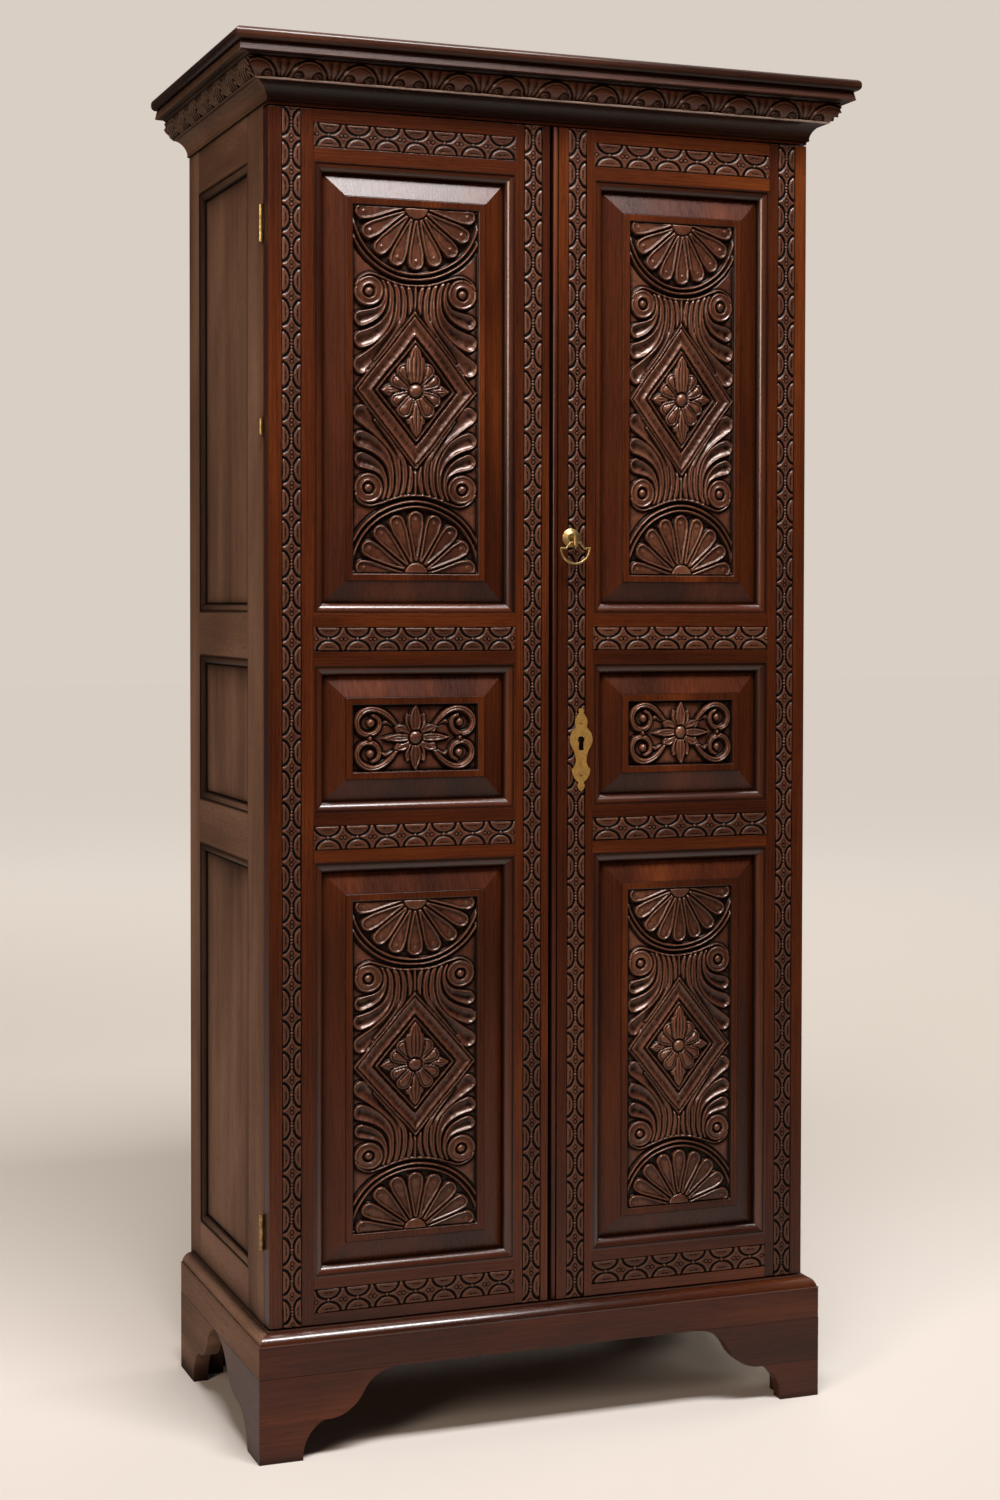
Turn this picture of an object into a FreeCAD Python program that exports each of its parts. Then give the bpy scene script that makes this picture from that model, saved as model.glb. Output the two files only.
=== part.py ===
import FreeCAD, Part
import math
import os
import Sketcher

# Linen press: a joined oak cupboard with two framed doors, a carved cornice and bracket feet.
# The frame stands on z = 0 with its middle at x = 0, y = 0; the doors face -y.

doc = FreeCAD.newDocument("LinenPress")
sheet = doc.addObject("Spreadsheet::Sheet", "Sizes")

SIZES = {
    # whole cupboard
    "caseWidth": 800,
    "doorFaceToBack": 450,
    "corniceReach": 58,
    "doorThickness": 26,
    "doorSeat": 1,
    "meetingGap": 6,
    "doorHeight": 1635,
    "doorGap": 2,
    # base frame and bracket feet
    "lowerBlockHeight": 52,
    "bracketHeight": 62,
    "plinthRailHeight": 43,
    "plinthReach": 19,
    "plinthThickness": 22,
    "plinthBackInset": 15,
    "baseMouldHeight": 17,
    "baseMouldFillet": 2,
    "baseMouldTop": 3.5,
    "bearerThickness": 25,
    "frontBracketLength": 196,
    "sideBracketLength": 241,
    "frontFootWidth": 61,
    "rearFootWidth": 80,
    "frontBlockTop": 90,
    "sideBlockTop": 110,
    "blockLand": 5,
    "backBracketLength": 120,
    "glueBlockWidth": 30,
    # side walls
    "sideThickness": 22,
    "frontStileWidth": 82,
    "rearStileWidth": 61,
    "sideBottomRail": 72,
    "sideLowerPanel": 568.5,
    "sideLowerRail": 62.5,
    "sideMiddlePanel": 216,
    "sideUpperRail": 61,
    "sideTopRail": 128.5,
    "sidePanelDepth": 8,
    "sideMouldWidth": 13,
    # doors
    "leftDoorWidth": 402,
    "hingeStileLeft": 62.5,
    "meetingStileLeft": 50,
    "meetingStileRight": 61,
    "hingeStileRight": 59,
    "doorTopRail": 68,
    "doorUpperPanel": 606,
    "doorUpperRail": 68.5,
    "doorMiddlePanel": 200.5,
    "doorLowerRail": 66,
    "doorBottomRail": 63,
    "bandDepth": 1.5,
    "stileBandWidth": 27.5,
    "railBandWidth": 33,
    "bandInsetHingeLeft": 18,
    "bandInsetMeetingLeft": 12,
    "bandInsetMeetingRight": 22,
    "bandInsetHingeRight": 14,
    "meetingBeadWidth": 7.5,
    "meetingBeadRise": 2.5,
    # panels and their mouldings
    "grooveDepth": 8,
    "grooveWidth": 8,
    "grooveStart": 12.5,
    "tongueClearance": 0.2,
    "doorMouldWidth": 15,
    "mouldFillet": 2.5,
    "mouldQuirk": 1.2,
    "panelBevel": 29,
    "panelFieldDepth": 1.5,
    "panelBorder": 11,
    "panelSink": 6,
    "panelBack": 20,
    # inside
    "boardThickness": 18,
    "frontRailThickness": 22,
    "doorLap": 21,
    "shelfSetback": 60,
    "shelfFit": 0.3,
    "bearerSize": 20,
    "backThickness": 10,
    "backInset": 6,
    "backTongue": 4,
    # cornice
    "friezeShow": 4.5,
    "coveHeight": 25.5,
    "crownHeight": 40.5,
    "capThickness": 16.5,
    "capRound": 7,
    "coveReach": 20,
    "coveFoot": 3,
    "coveFootHeight": 5,
    "crownReach": 35.5,
    "crownFilletHeight": 2.5,
    "ovoloHeight": 22,
    "fasciaReach": 49,
    "fasciaHeight": 13,
    # hinges
    "hingeProud": 3.5,
    "knuckleRadius": 3.2,
    "pinRadius": 1.5,
    "pinFit": 0.05,
    "knuckleGap": 0.3,
    "leafWidth": 18,
    "leafThickness": 1.5,
    "leafGap": 0.4,
    "upperHingeHeight": 50,
    "middleHingeHeight": 22,
    "lowerHingeHeight": 48,
    "upperHingeDrop": 177,
    "middleHingeDrop": 434,
    "lowerHingeRise": 102,
    # ring pull
    "ringFromMeetingEdge": 26.5,
    "ringRise": 1060,
    "rosetteRadius": 13,
    "rosetteRise": 5,
    "rosetteLift": 7,
    "postRadius": 3,
    "headRadius": 5,
    "headRise": 17,
    "ringHalfWidth": 21.5,
    "ringShoulder": 8,
    "ringWire": 1.5,
    "ringEyeFit": 0.3,
    # lock and key plate
    "keyFromMeetingEdge": 42.5,
    "keyRise": 785,
    "plateThickness": 1.5,
    "platePinRadius": 1.9,
    "platePinRise": 1.2,
    "keyEyeRadius": 5,
    "keySlotWidth": 7.2,
    "keySlotDrop": 14.5,
    "keyBore": 1,
    "lockWidth": 62,
    "lockHeight": 84,
    "lockThickness": 15,
    "lockWall": 1.6,
    "boltHeight": 22,
    "boltThickness": 6,
    "boltLength": 40,
    "boltRunningFit": 0.25,
    "boltBack": 0.6,
    "keepReach": 22,
    # sliding bolts of the left door
    "slideBoltFromEdge": 25,
    "slideBoltRadius": 4,
    "slideBoltLength": 130,
    "slideBoltTravel": 14,
    "slideBoltBack": 4,
    "slidePlateWidth": 30,
    "slidePlateLength": 96,
    "guideHeight": 14,
    "guideDepth": 12,
    "slideKnobRadius": 5,
    "keeperThickness": 1.5,
    "boltHoleFit": 0.5,
}

for row, (alias, value) in enumerate(SIZES.items(), start=1):
    sheet.set(f"A{row}", alias)
    sheet.set(f"B{row}", str(value))
    sheet.setAlias(f"B{row}", alias)
doc.recompute()

SHELF_COUNT = 4
BACK_BOARD_COUNT = 6
KNUCKLE_COUNT = 3


class Dim:
    """A length with the sheet expression that gives it."""

    def __init__(self, value, text):
        self.value = value
        self.text = text

    def __add__(self, other):
        other = as_dim(other)
        return Dim(self.value + other.value, f"({self.text} + {other.text})")

    def __sub__(self, other):
        other = as_dim(other)
        return Dim(self.value - other.value, f"({self.text} - {other.text})")

    def __mul__(self, factor):
        factor = as_dim(factor)
        return Dim(self.value * factor.value, f"({self.text} * {factor.text})")

    def __truediv__(self, divisor):
        divisor = as_dim(divisor)
        return Dim(self.value / divisor.value, f"({self.text} / {divisor.text})")

    def __neg__(self):
        return Dim(-self.value, f"(0 - {self.text})")

    __radd__ = __add__
    __rmul__ = __mul__


def as_dim(value):
    """A plain number is taken as it is."""
    return value if isinstance(value, Dim) else Dim(float(value), repr(float(value)))


def size(alias):
    """A driving dimension of the sheet."""
    return Dim(float(sheet.get(alias)), f"Sizes.{alias}")


def rooted(square):
    """The square root of a length squared."""
    return Dim(math.sqrt(square.value), f"sqrt({square.text})")


# ---------------------------------------------------------------- levels and planes
half_width = size("caseWidth") / 2
door_face = -(size("doorFaceToBack") - size("corniceReach")) / 2
front = door_face - size("corniceReach")
back = door_face + size("doorFaceToBack")
case_front = door_face + size("doorThickness") + size("doorSeat")

rail_base = size("lowerBlockHeight") + size("bracketHeight")
plinth_top = rail_base + size("plinthRailHeight")
mould_top = plinth_top + size("baseMouldHeight")
door_bottom = mould_top + size("doorGap")
door_top = door_bottom + size("doorHeight")
frieze_bottom = door_top + size("doorGap")
cove_bottom = frieze_bottom + size("friezeShow")
crown_bottom = cove_bottom + size("coveHeight")
case_top = crown_bottom + size("crownHeight")
case_height = case_top - plinth_top

inner_half = half_width - size("sideThickness")
board_back = back - size("backInset")
board_front = board_back - size("backThickness")
front_rail_back = case_front + size("frontRailThickness")
top_rail_bottom = door_top - size("doorLap")
floor_top = door_bottom + size("doorLap")
ceiling = case_top - size("boardThickness")

STRAIGHT = FreeCAD.Rotation()
ABOUT_X = FreeCAD.Vector(1, 0, 0)
ABOUT_Y = FreeCAD.Vector(0, 1, 0)
ABOUT_Z = FreeCAD.Vector(0, 0, 1)
UPRIGHT = FreeCAD.Rotation(ABOUT_X, 90)


# ---------------------------------------------------------------- making and placing
def place(item, corner, turn=STRAIGHT):
    """Turns an object and binds its base point to the sheet."""
    item.Placement = FreeCAD.Placement(FreeCAD.Vector(), turn)
    for axis, distance in zip("xyz", corner):
        item.setExpression(f"Placement.Base.{axis}", as_dim(distance).text)
    return item


def board(name, corner, extent):
    """A plain rectangular piece from its lowest corner and its three extents."""
    item = doc.addObject("Part::Box", name)
    for side, length in zip(("Length", "Width", "Height"), extent):
        item.setExpression(side, as_dim(length).text)
    return place(item, corner)


def cylinder(name, centre, radius, length, turn=STRAIGHT):
    """A round bar that starts at a centre point and runs along its turned z axis."""
    item = doc.addObject("Part::Cylinder", name)
    item.setExpression("Radius", as_dim(radius).text)
    item.setExpression("Height", as_dim(length).text)
    return place(item, centre, turn)


def fuse(name, pieces):
    item = doc.addObject("Part::MultiFuse", name)
    item.Shapes = pieces
    item.Refine = True
    return item


def cut(name, base, tools):
    item = doc.addObject("Part::Cut", name)
    item.Base = base
    item.Tool = tools[0] if len(tools) == 1 else group(name + "_cutters", tools)
    item.Refine = True
    return item


def group(name, pieces):
    """Several separate solids of one kind, kept together."""
    item = doc.addObject("Part::Compound", name)
    item.Links = pieces
    return item


def arc_middle(start, end, bow):
    """The middle of an arc whose radius is |bow| chords; a positive bow bulges to the left."""
    chord = math.dist(start, end)
    radius = abs(bow) * chord
    rise = radius - math.sqrt(radius * radius - chord * chord / 4)
    left = ((start[1] - end[1]) / chord, (end[0] - start[0]) / chord)
    side = math.copysign(rise, bow)
    return ((start[0] + end[0]) / 2 + left[0] * side, (start[1] + end[1]) / 2 + left[1] * side)


def draw(sketch, outline):
    """Adds a closed outline. A vertex is (x, y); (x, y, bow) ends an arc of |bow| chords radius."""
    first = sketch.GeometryCount
    count = len(outline)
    starts = []
    for index, vertex in enumerate(outline):
        before = outline[index - 1]
        start = (as_dim(before[0]).value, as_dim(before[1]).value)
        end = (as_dim(vertex[0]).value, as_dim(vertex[1]).value)
        bow = vertex[2] if len(vertex) == 3 else 0
        ends = [FreeCAD.Vector(*start, 0), FreeCAD.Vector(*end, 0)]
        if bow:
            ends.insert(1, FreeCAD.Vector(*arc_middle(start, end, bow), 0))
            sketch.addGeometry(Part.Arc(*ends), False)
        else:
            sketch.addGeometry(Part.LineSegment(*ends), False)
        starts.append(2 if bow > 0 else 1)
    for index in range(count):
        after = (index + 1) % count
        sketch.addConstraint(Sketcher.Constraint(
            "Coincident", first + index, 3 - starts[index], first + after, starts[after]))
    for index in range(count):
        before = outline[index - 1]
        for kind, axis, distance in (("DistanceX", -2, before[0]), ("DistanceY", -1, before[1])):
            distance = as_dim(distance)
            spot = (first + index, starts[index])
            if abs(distance.value) < 1e-9:
                sketch.addConstraint(Sketcher.Constraint("PointOnObject", *spot, axis))
                continue
            number = sketch.addConstraint(
                Sketcher.Constraint(kind, -1, 1, *spot, distance.value))
            sketch.setExpression(f"Constraints[{number}]", distance.text)
        bow = outline[index][2] if len(outline[index]) == 3 else 0
        if bow:
            across = as_dim(outline[index][0]) - before[0]
            along = as_dim(outline[index][1]) - before[1]
            radius = rooted(across * across + along * along) * abs(bow)
            number = sketch.addConstraint(
                Sketcher.Constraint("Radius", first + index, radius.value))
            sketch.setExpression(f"Constraints[{number}]", radius.text)


def sketch_on(body, role, outlines, lift=None):
    """A sketch on an origin plane of its own body, raised by lift along the plane's normal."""
    plane = next(item for item in body.Origin.OriginFeatures if item.Role == role)
    sketch = body.newObject("Sketcher::SketchObject", body.Name + "_sketch")
    sketch.AttachmentSupport = [(plane, "")]
    sketch.MapMode = "FlatFace"
    if lift is not None:
        sketch.setExpression("AttachmentOffset.Base.z", as_dim(lift).text)
    for outline in outlines:
        draw(sketch, outline)
    return sketch


def new_body(name):
    return doc.addObject("PartDesign::Body", name)


def pad(body, role, outline, length, lift=None):
    feature = body.newObject("PartDesign::Pad", body.Name + "_pad")
    feature.Profile = sketch_on(body, role, [outline], lift)
    feature.setExpression("Length", as_dim(length).text)
    return body


def cut_through(body, role, outlines):
    """Cuts outlines right through a body, both ways from their plane."""
    feature = body.newObject("PartDesign::Pocket", body.Name + "_cut")
    feature.Profile = sketch_on(body, role, outlines)
    feature.Type = "ThroughAll"
    feature.SideType = "Symmetric"
    return body


def rectangle(x0, y0, x1, y1):
    return [(x0, y0), (x1, y0), (x1, y1), (x0, y1)]


def mitred_strip(name, section, length, reach, ends, depth=None):
    """A moulding run: its section pads along x, and each end named l or r is cut at 45 degrees.

    The run is full length at y = 0 and shorter inwards up to reach; depth is how far the whole
    section goes when its inner part runs on square.
    """
    body = pad(new_body(name), "YZ_Plane", section, length)
    cuts = []
    for end in ends:
        tip = as_dim(0) if end == "l" else length
        inner = reach if end == "l" else length - reach
        outline = [(tip, 0), (inner, reach)]
        if depth is None:
            outline.append((tip, reach))
        else:
            outline += [(inner, depth), (tip, depth)]
        cuts.append(outline)
    if cuts:
        cut_through(body, "XY_Plane", cuts)
    return body


class Wall:
    """A framed wall seen from its outer face: x runs right, y runs into it, z is up."""

    def __init__(self, corner, quarter_turns):
        self.corner = corner
        self.quarter_turns = quarter_turns
        self.turn = FreeCAD.Rotation(ABOUT_Z, 90 * quarter_turns)

    def point(self, x, y, z):
        x, y = as_dim(x), as_dim(y)
        across, into = {0: (x, y), 1: (-y, x), -1: (y, -x)}[self.quarter_turns]
        return (self.corner[0] + across, self.corner[1] + into, self.corner[2] + z)

    def put(self, item, x, y, z, turn=STRAIGHT):
        return place(item, self.point(x, y, z), self.turn.multiply(turn))


# ---------------------------------------------------------------- framed walls: sides and doors
def stile(wall, name, x, width, height, thickness, groove_near, groove_right, band=None,
          bead=False):
    """An upright with a panel groove in its inner edge and a shallow sunk band for carving."""
    groove_far = groove_near + size("grooveWidth")
    outline = [(0, 0)]
    if bead:
        edge = size("meetingBeadWidth")
        rise = size("meetingBeadRise")
        outline = [(0, rise), (edge, rise, -0.6), (edge, 0)]
    if band is not None:
        sunk = size("bandDepth")
        far_side = band + size("stileBandWidth")
        outline += [(band, 0), (band, sunk), (far_side, sunk), (far_side, 0)]
    outline += [(width, 0)]
    if groove_right:
        floor = width - size("grooveDepth")
        outline += [(width, groove_near), (floor, groove_near), (floor, groove_far),
                    (width, groove_far)]
    outline += [(width, thickness), (0, thickness)]
    if not groove_right:
        floor = size("grooveDepth")
        outline += [(0, groove_far), (floor, groove_far), (floor, groove_near), (0, groove_near)]
    body = pad(new_body(name), "XY_Plane", outline, height)
    return wall.put(body, x, 0, 0)


def rail(wall, name, x, z, length, height, thickness, near, grooves, band=None):
    """A cross rail with grooves in the edges named t and b and a stub tenon at each end."""
    far = near + size("grooveWidth")
    depth = size("grooveDepth")
    outline = [(0, 0)]
    if "b" in grooves:
        outline += [(near, 0), (near, depth), (far, depth), (far, 0)]
    outline += [(thickness, 0), (thickness, height)]
    if "t" in grooves:
        outline += [(far, height), (far, height - depth), (near, height - depth), (near, height)]
    outline += [(0, height)]
    if band is not None:
        sunk = size("bandDepth")
        low = (height - band) / 2
        outline += [(0, low + band), (sunk, low + band), (sunk, low), (0, low)]
    stub = depth - size("tongueClearance")
    fit = size("tongueClearance")
    tenon = rectangle(near + fit, depth, far - fit, height - depth)
    body = pad(new_body(name), "YZ_Plane", outline, length)
    pad(body, "YZ_Plane", tenon, length + stub * 2, -stub)
    return wall.put(body, x, 0, z)


def ovolo_section(width, depth):
    """A planted panel moulding: back edge on the frame, fillet, quirk and a quarter-round fall."""
    fillet = size("mouldFillet")
    quirk = size("mouldQuirk")
    return [(0, 0), (width, 0), (width, quirk), (fillet, depth - quirk, -0.78), (fillet, depth),
            (0, depth)]


def panel_mouldings(wall, name, x, z, width, height, section, reach, back_depth):
    """Four mitred lengths round one opening."""
    runs = (("bottom", width, 0, (x, z)), ("left", height, 90, (x, z + height)),
            ("top", width, 180, (x + width, z + height)), ("right", height, -90, (x + width, z)))
    strips = []
    for side, length, angle, (start_x, start_z) in runs:
        strip = mitred_strip(f"{name}_{side}", section, length, reach, "lr")
        turn = FreeCAD.Rotation(ABOUT_Y, angle).multiply(UPRIGHT)
        strips.append(wall.put(strip, start_x, back_depth, start_z, turn))
    return strips


def flat_panel(wall, name, x, z, width, height, groove_near):
    """A plain board held in the grooves on all four edges."""
    fit = size("tongueClearance")
    tongue = size("grooveDepth") - fit
    thickness = size("grooveWidth") - fit * 2
    outline = rectangle(0, 0, width + tongue * 2, height + tongue * 2)
    body = pad(new_body(name), "XY_Plane", outline, thickness)
    return wall.put(body, x - tongue, groove_near + fit + thickness, z - tongue, UPRIGHT)


def fielded_panel(wall, name, x, z, width, height):
    """A raised panel: tongue in the grooves, a wide bevel up to the field, and a sunk ground."""
    tongue = size("grooveDepth") - size("tongueClearance")
    tongue_face = size("grooveStart") + size("tongueClearance")
    field_face = size("panelFieldDepth")
    foot = size("doorMouldWidth")
    bevel = size("panelBevel")
    ground = foot + bevel + size("panelBorder")
    across = width - foot * 2
    up = height - foot * 2
    slab = board(f"{name}_slab", wall.point(x - tongue, tongue_face, z - tongue),
                 (width + tongue * 2, size("panelBack") - tongue_face, height + tongue * 2))
    raised = doc.addObject("Part::Wedge", f"{name}_raised")
    faces = {"Ymin": 0, "Xmin": bevel, "Xmax": across - bevel, "Zmin": bevel, "Zmax": up - bevel,
             "Ymax": tongue_face - field_face, "X2min": 0, "X2max": across, "Z2min": 0,
             "Z2max": up}
    for side, distance in faces.items():
        raised.setExpression(side, as_dim(distance).text)
    place(raised, wall.point(x + foot, field_face, z + foot))
    sinking = board(f"{name}_sinking", wall.point(x + ground, 0, z + ground),
                    (width - ground * 2, field_face + size("panelSink"), height - ground * 2))
    return cut(name, fuse(f"{name}_blank", [slab, raised]), [sinking])


def openings(heights):
    """Rails and panels in turn from the bottom up: (number, level, height), rails even."""
    level = as_dim(0)
    for number, height in enumerate(heights):
        yield number, level, height
        level = level + height


def remainder(whole, parts):
    for part in parts:
        whole = whole - part
    return whole


def side_wall(side, wall, left_width, right_width):
    """One side of the case: two stiles, four rails and three flat panels in mouldings."""
    width = back - case_front
    thickness = size("sideThickness")
    near = size("sidePanelDepth")
    panel_face = near + size("tongueClearance")
    length = width - left_width - right_width
    left_name, right_name = f"{side}_rear_stile", f"{side}_front_stile"
    if side == "right":
        left_name, right_name = right_name, left_name
    stile_nodes[left_name] = stile(
        wall, left_name, 0, left_width, case_height, thickness, near, True)
    stile_nodes[right_name] = stile(
        wall, right_name, width - right_width, right_width, case_height, thickness, near, False)
    lower = [size("sideBottomRail"), size("sideLowerPanel"), size("sideLowerRail"),
             size("sideMiddlePanel"), size("sideUpperRail")]
    upper = remainder(case_height, lower + [size("sideTopRail")])
    section = ovolo_section(size("sideMouldWidth"), panel_face)
    rails, panels, mouldings = [], [], []
    for number, level, height in openings(lower + [upper, size("sideTopRail")]):
        tag = number // 2 + 1
        if number % 2 == 0:
            grooves = {0: "t", 6: "b"}.get(number, "tb")
            rails.append(rail(wall, f"{side}_side_rail_{tag}", left_width, level, length, height,
                              thickness, near, grooves))
        else:
            panels.append(flat_panel(wall, f"{side}_side_panel_{tag}", left_width, level,
                                     length, height, near))
            mouldings += panel_mouldings(wall, f"{side}_side_moulding_{tag}", left_width, level,
                                         length, height, section, size("sideMouldWidth"),
                                         panel_face)
    nodes[f"{side}_side_rails"] = group(f"{side}_side_rails", rails)
    nodes[f"{side}_side_panels"] = group(f"{side}_side_panels", panels)
    nodes[f"{side}_side_mouldings"] = group(f"{side}_side_mouldings", mouldings)


def door(side, wall, width, left_stile, right_stile):
    """A door: each stile is (name, width, band inset, has a bead); rails and panels between."""
    height = size("doorHeight")
    thickness = size("doorThickness")
    near = size("grooveStart")
    panel_face = near + size("tongueClearance")
    length = width - left_stile[1] - right_stile[1]
    stile_nodes[left_stile[0]] = stile(wall, left_stile[0], 0, left_stile[1], height, thickness,
                                       near, True, left_stile[2], left_stile[3])
    stile_nodes[right_stile[0]] = stile(wall, right_stile[0], width - right_stile[1],
                                        right_stile[1], height, thickness, near, False,
                                        right_stile[2])
    middle = [size("doorLowerRail"), size("doorMiddlePanel"), size("doorUpperRail"),
              size("doorUpperPanel"), size("doorTopRail")]
    lower_panel = remainder(height, [size("doorBottomRail")] + middle)
    section = ovolo_section(size("doorMouldWidth"), panel_face)
    rails, mouldings = [], []
    for number, level, tall in openings([size("doorBottomRail"), lower_panel] + middle):
        tag = number // 2
        if number % 2 == 0:
            grooves = {0: "t", 6: "b"}.get(number, "tb")
            rails.append(rail(wall, f"{side}_door_rail_{tag + 1}", left_stile[1], level, length,
                              tall, thickness, near, grooves, size("railBandWidth")))
        else:
            name = f"{side}_{('lower', 'middle', 'upper')[tag]}_panel"
            nodes[name] = fielded_panel(wall, name, left_stile[1], level, length, tall)
            mouldings += panel_mouldings(wall, f"{side}_door_moulding_{tag + 1}", left_stile[1],
                                         level, length, tall, section, size("doorMouldWidth"),
                                         panel_face)
    nodes[f"{side}_door_rails"] = group(f"{side}_door_rails", rails)
    nodes[f"{side}_door_mouldings"] = group(f"{side}_door_mouldings", mouldings)


nodes = {}
stile_nodes = {}
recesses = {}

side_wall("left", Wall((-half_width, back, plinth_top), -1), size("rearStileWidth"),
          size("frontStileWidth"))
side_wall("right", Wall((half_width, case_front, plinth_top), 1), size("frontStileWidth"),
          size("rearStileWidth"))

left_edge = -half_width + size("leftDoorWidth")
right_edge = left_edge + size("meetingGap")
door_back = door_face + size("doorThickness")
door("left", Wall((-half_width, door_face, door_bottom), 0), size("leftDoorWidth"),
     ("left_hinge_stile", size("hingeStileLeft"), size("bandInsetHingeLeft"), False),
     ("left_meeting_stile", size("meetingStileLeft"), size("bandInsetMeetingLeft"), False))
door("right", Wall((right_edge, door_face, door_bottom), 0), half_width - right_edge,
     ("right_meeting_stile", size("meetingStileRight"), size("bandInsetMeetingRight"), True),
     ("right_hinge_stile", size("hingeStileRight"), size("bandInsetHingeRight"), False))


# ---------------------------------------------------------------- boards of the case
def case_boards():
    """Front rails and frieze, top and floor, shelves on bearers, and tongued back boards."""
    thick = size("boardThickness")
    full = size("caseWidth")
    inside = inner_half * 2
    rail_thick = size("frontRailThickness")
    top_rail = board("front_top_rail", (-inner_half, case_front, top_rail_bottom),
                     (inside, rail_thick, case_top - top_rail_bottom))
    bottom_rail = board("front_bottom_rail", (-inner_half, case_front, plinth_top),
                        (inside, rail_thick, floor_top - plinth_top))
    frieze = board("frieze_board", (-half_width, door_face, frieze_bottom),
                   (full, case_front - door_face, case_top - frieze_bottom))
    deep = board_front - front_rail_back
    nodes["case_ceiling"] = board("case_ceiling", (-inner_half, front_rail_back, ceiling),
                                  (inside, deep, thick))
    nodes["case_floor"] = board("case_floor", (-inner_half, front_rail_back, floor_top - thick),
                                (inside, deep, thick))
    shelf_front = door_face + size("shelfSetback")
    clear = (ceiling - floor_top - thick * SHELF_COUNT) / (SHELF_COUNT + 1)
    fit = size("shelfFit")
    cleat = size("bearerSize")
    shelves, bearers = [], []
    level = floor_top
    for number in range(1, SHELF_COUNT + 1):
        level = level + clear
        shelves.append(board(f"shelf_{number}", (fit - inner_half, shelf_front, level),
                             (inside - fit * 2, board_front - shelf_front, thick)))
        for side, start in (("left", -inner_half), ("right", inner_half - cleat)):
            bearers.append(board(f"shelf_bearer_{side}_{number}",
                                 (start, shelf_front, level - cleat),
                                 (cleat, board_front - shelf_front, cleat)))
        level = level + thick
    nodes["shelves"] = group("shelves", shelves)
    nodes["shelf_bearers"] = group("shelf_bearers", bearers)

    deepness = size("backThickness")
    tongue = size("backTongue")
    play = size("tongueClearance") / 2
    width = inside / BACK_BOARD_COUNT
    boards = []
    for number in range(BACK_BOARD_COUNT):
        outline = [(0, 0), (width, 0)]
        if number < BACK_BOARD_COUNT - 1:
            outline += [(width, deepness / 3), (width + tongue, deepness / 3),
                        (width + tongue, deepness * 2 / 3), (width, deepness * 2 / 3)]
        outline += [(width, deepness), (0, deepness)]
        if number > 0:
            low, high = deepness / 3 - play, deepness * 2 / 3 + play
            floor = tongue + play
            outline += [(0, high), (floor, high), (floor, low), (0, low)]
        body = pad(new_body(f"back_board_{number + 1}"), "XY_Plane", outline, case_height)
        boards.append(place(body, (width * number - inner_half, board_front, plinth_top)))
    nodes["back_boards"] = group("back_boards", boards)
    return top_rail, bottom_rail, frieze


# ---------------------------------------------------------------- cornice
def cornice():
    """Cap board with a rounded edge over a mitred crown and cove on the front and both sides."""
    reach = size("corniceReach")
    body = pad(new_body("cornice_cap"), "XY_Plane",
               rectangle(0, 0, size("caseWidth") + reach * 2, back - front), size("capThickness"))
    doc.recompute()
    slab = body.Tip.Shape
    box = slab.BoundBox
    edges = []
    for number, edge in enumerate(slab.Edges, start=1):
        middle = edge.CenterOfMass
        level = abs(middle.z - box.ZMin) < 0.01 or abs(middle.z - box.ZMax) < 0.01
        if level and middle.y < box.YMax - 0.01:
            edges.append(f"Edge{number}")
    squared = body.Tip
    rounding = body.newObject("PartDesign::Fillet", "cornice_cap_nose")
    rounding.Base = (squared, edges)
    rounding.setExpression("Radius", size("capRound").text)
    nodes["cornice_cap"] = place(body, (-half_width - reach, front, case_top))

    wide = size("fasciaReach")
    tall = size("crownHeight")
    fascia = tall - size("fasciaHeight")
    crown_nose = wide - size("crownReach")
    foot = wide - size("coveReach")
    low = size("crownFilletHeight")
    crown = [(wide, 0), (wide, tall), (0, tall), (0, fascia + 2), (2, fascia),
             (crown_nose - 4, fascia), (crown_nose, low + size("ovoloHeight")),
             (foot, low, -0.74), (foot, 0)]
    run_round("crown", crown, wide, wide, crown_bottom, back)

    deep = size("coveReach")
    rise = size("coveHeight")
    toe = deep - size("coveFoot")
    cove = [(deep, 0), (deep, rise), (0, rise), (0, rise - 2), (toe, size("coveFootHeight"), 1.0),
            (toe, 0)]
    run_round("cove", cove, deep, deep, cove_bottom, back)


def run_round(name, section, reach, depth, level, rear, front_section=None):
    """One moulding mitred round the front and both sides; each run seats on the case."""
    deep = None if front_section is None else depth
    front_run = mitred_strip(f"{name}_front", front_section or section,
                             size("caseWidth") + reach * 2, reach, "lr", deep)
    nodes[f"{name}_front"] = place(front_run, (-half_width - reach, door_face - reach, level))
    length = rear - door_face + reach
    left_run = mitred_strip(f"{name}_left", section, length, reach, "r")
    place(left_run, (-half_width - reach, rear, level), FreeCAD.Rotation(ABOUT_Z, -90))
    right_run = mitred_strip(f"{name}_right", section, length, reach, "l")
    place(right_run, (half_width + reach, door_face - reach, level),
          FreeCAD.Rotation(ABOUT_Z, 90))
    nodes[f"{name}_sides"] = group(f"{name}_sides", [left_run, right_run])


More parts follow.
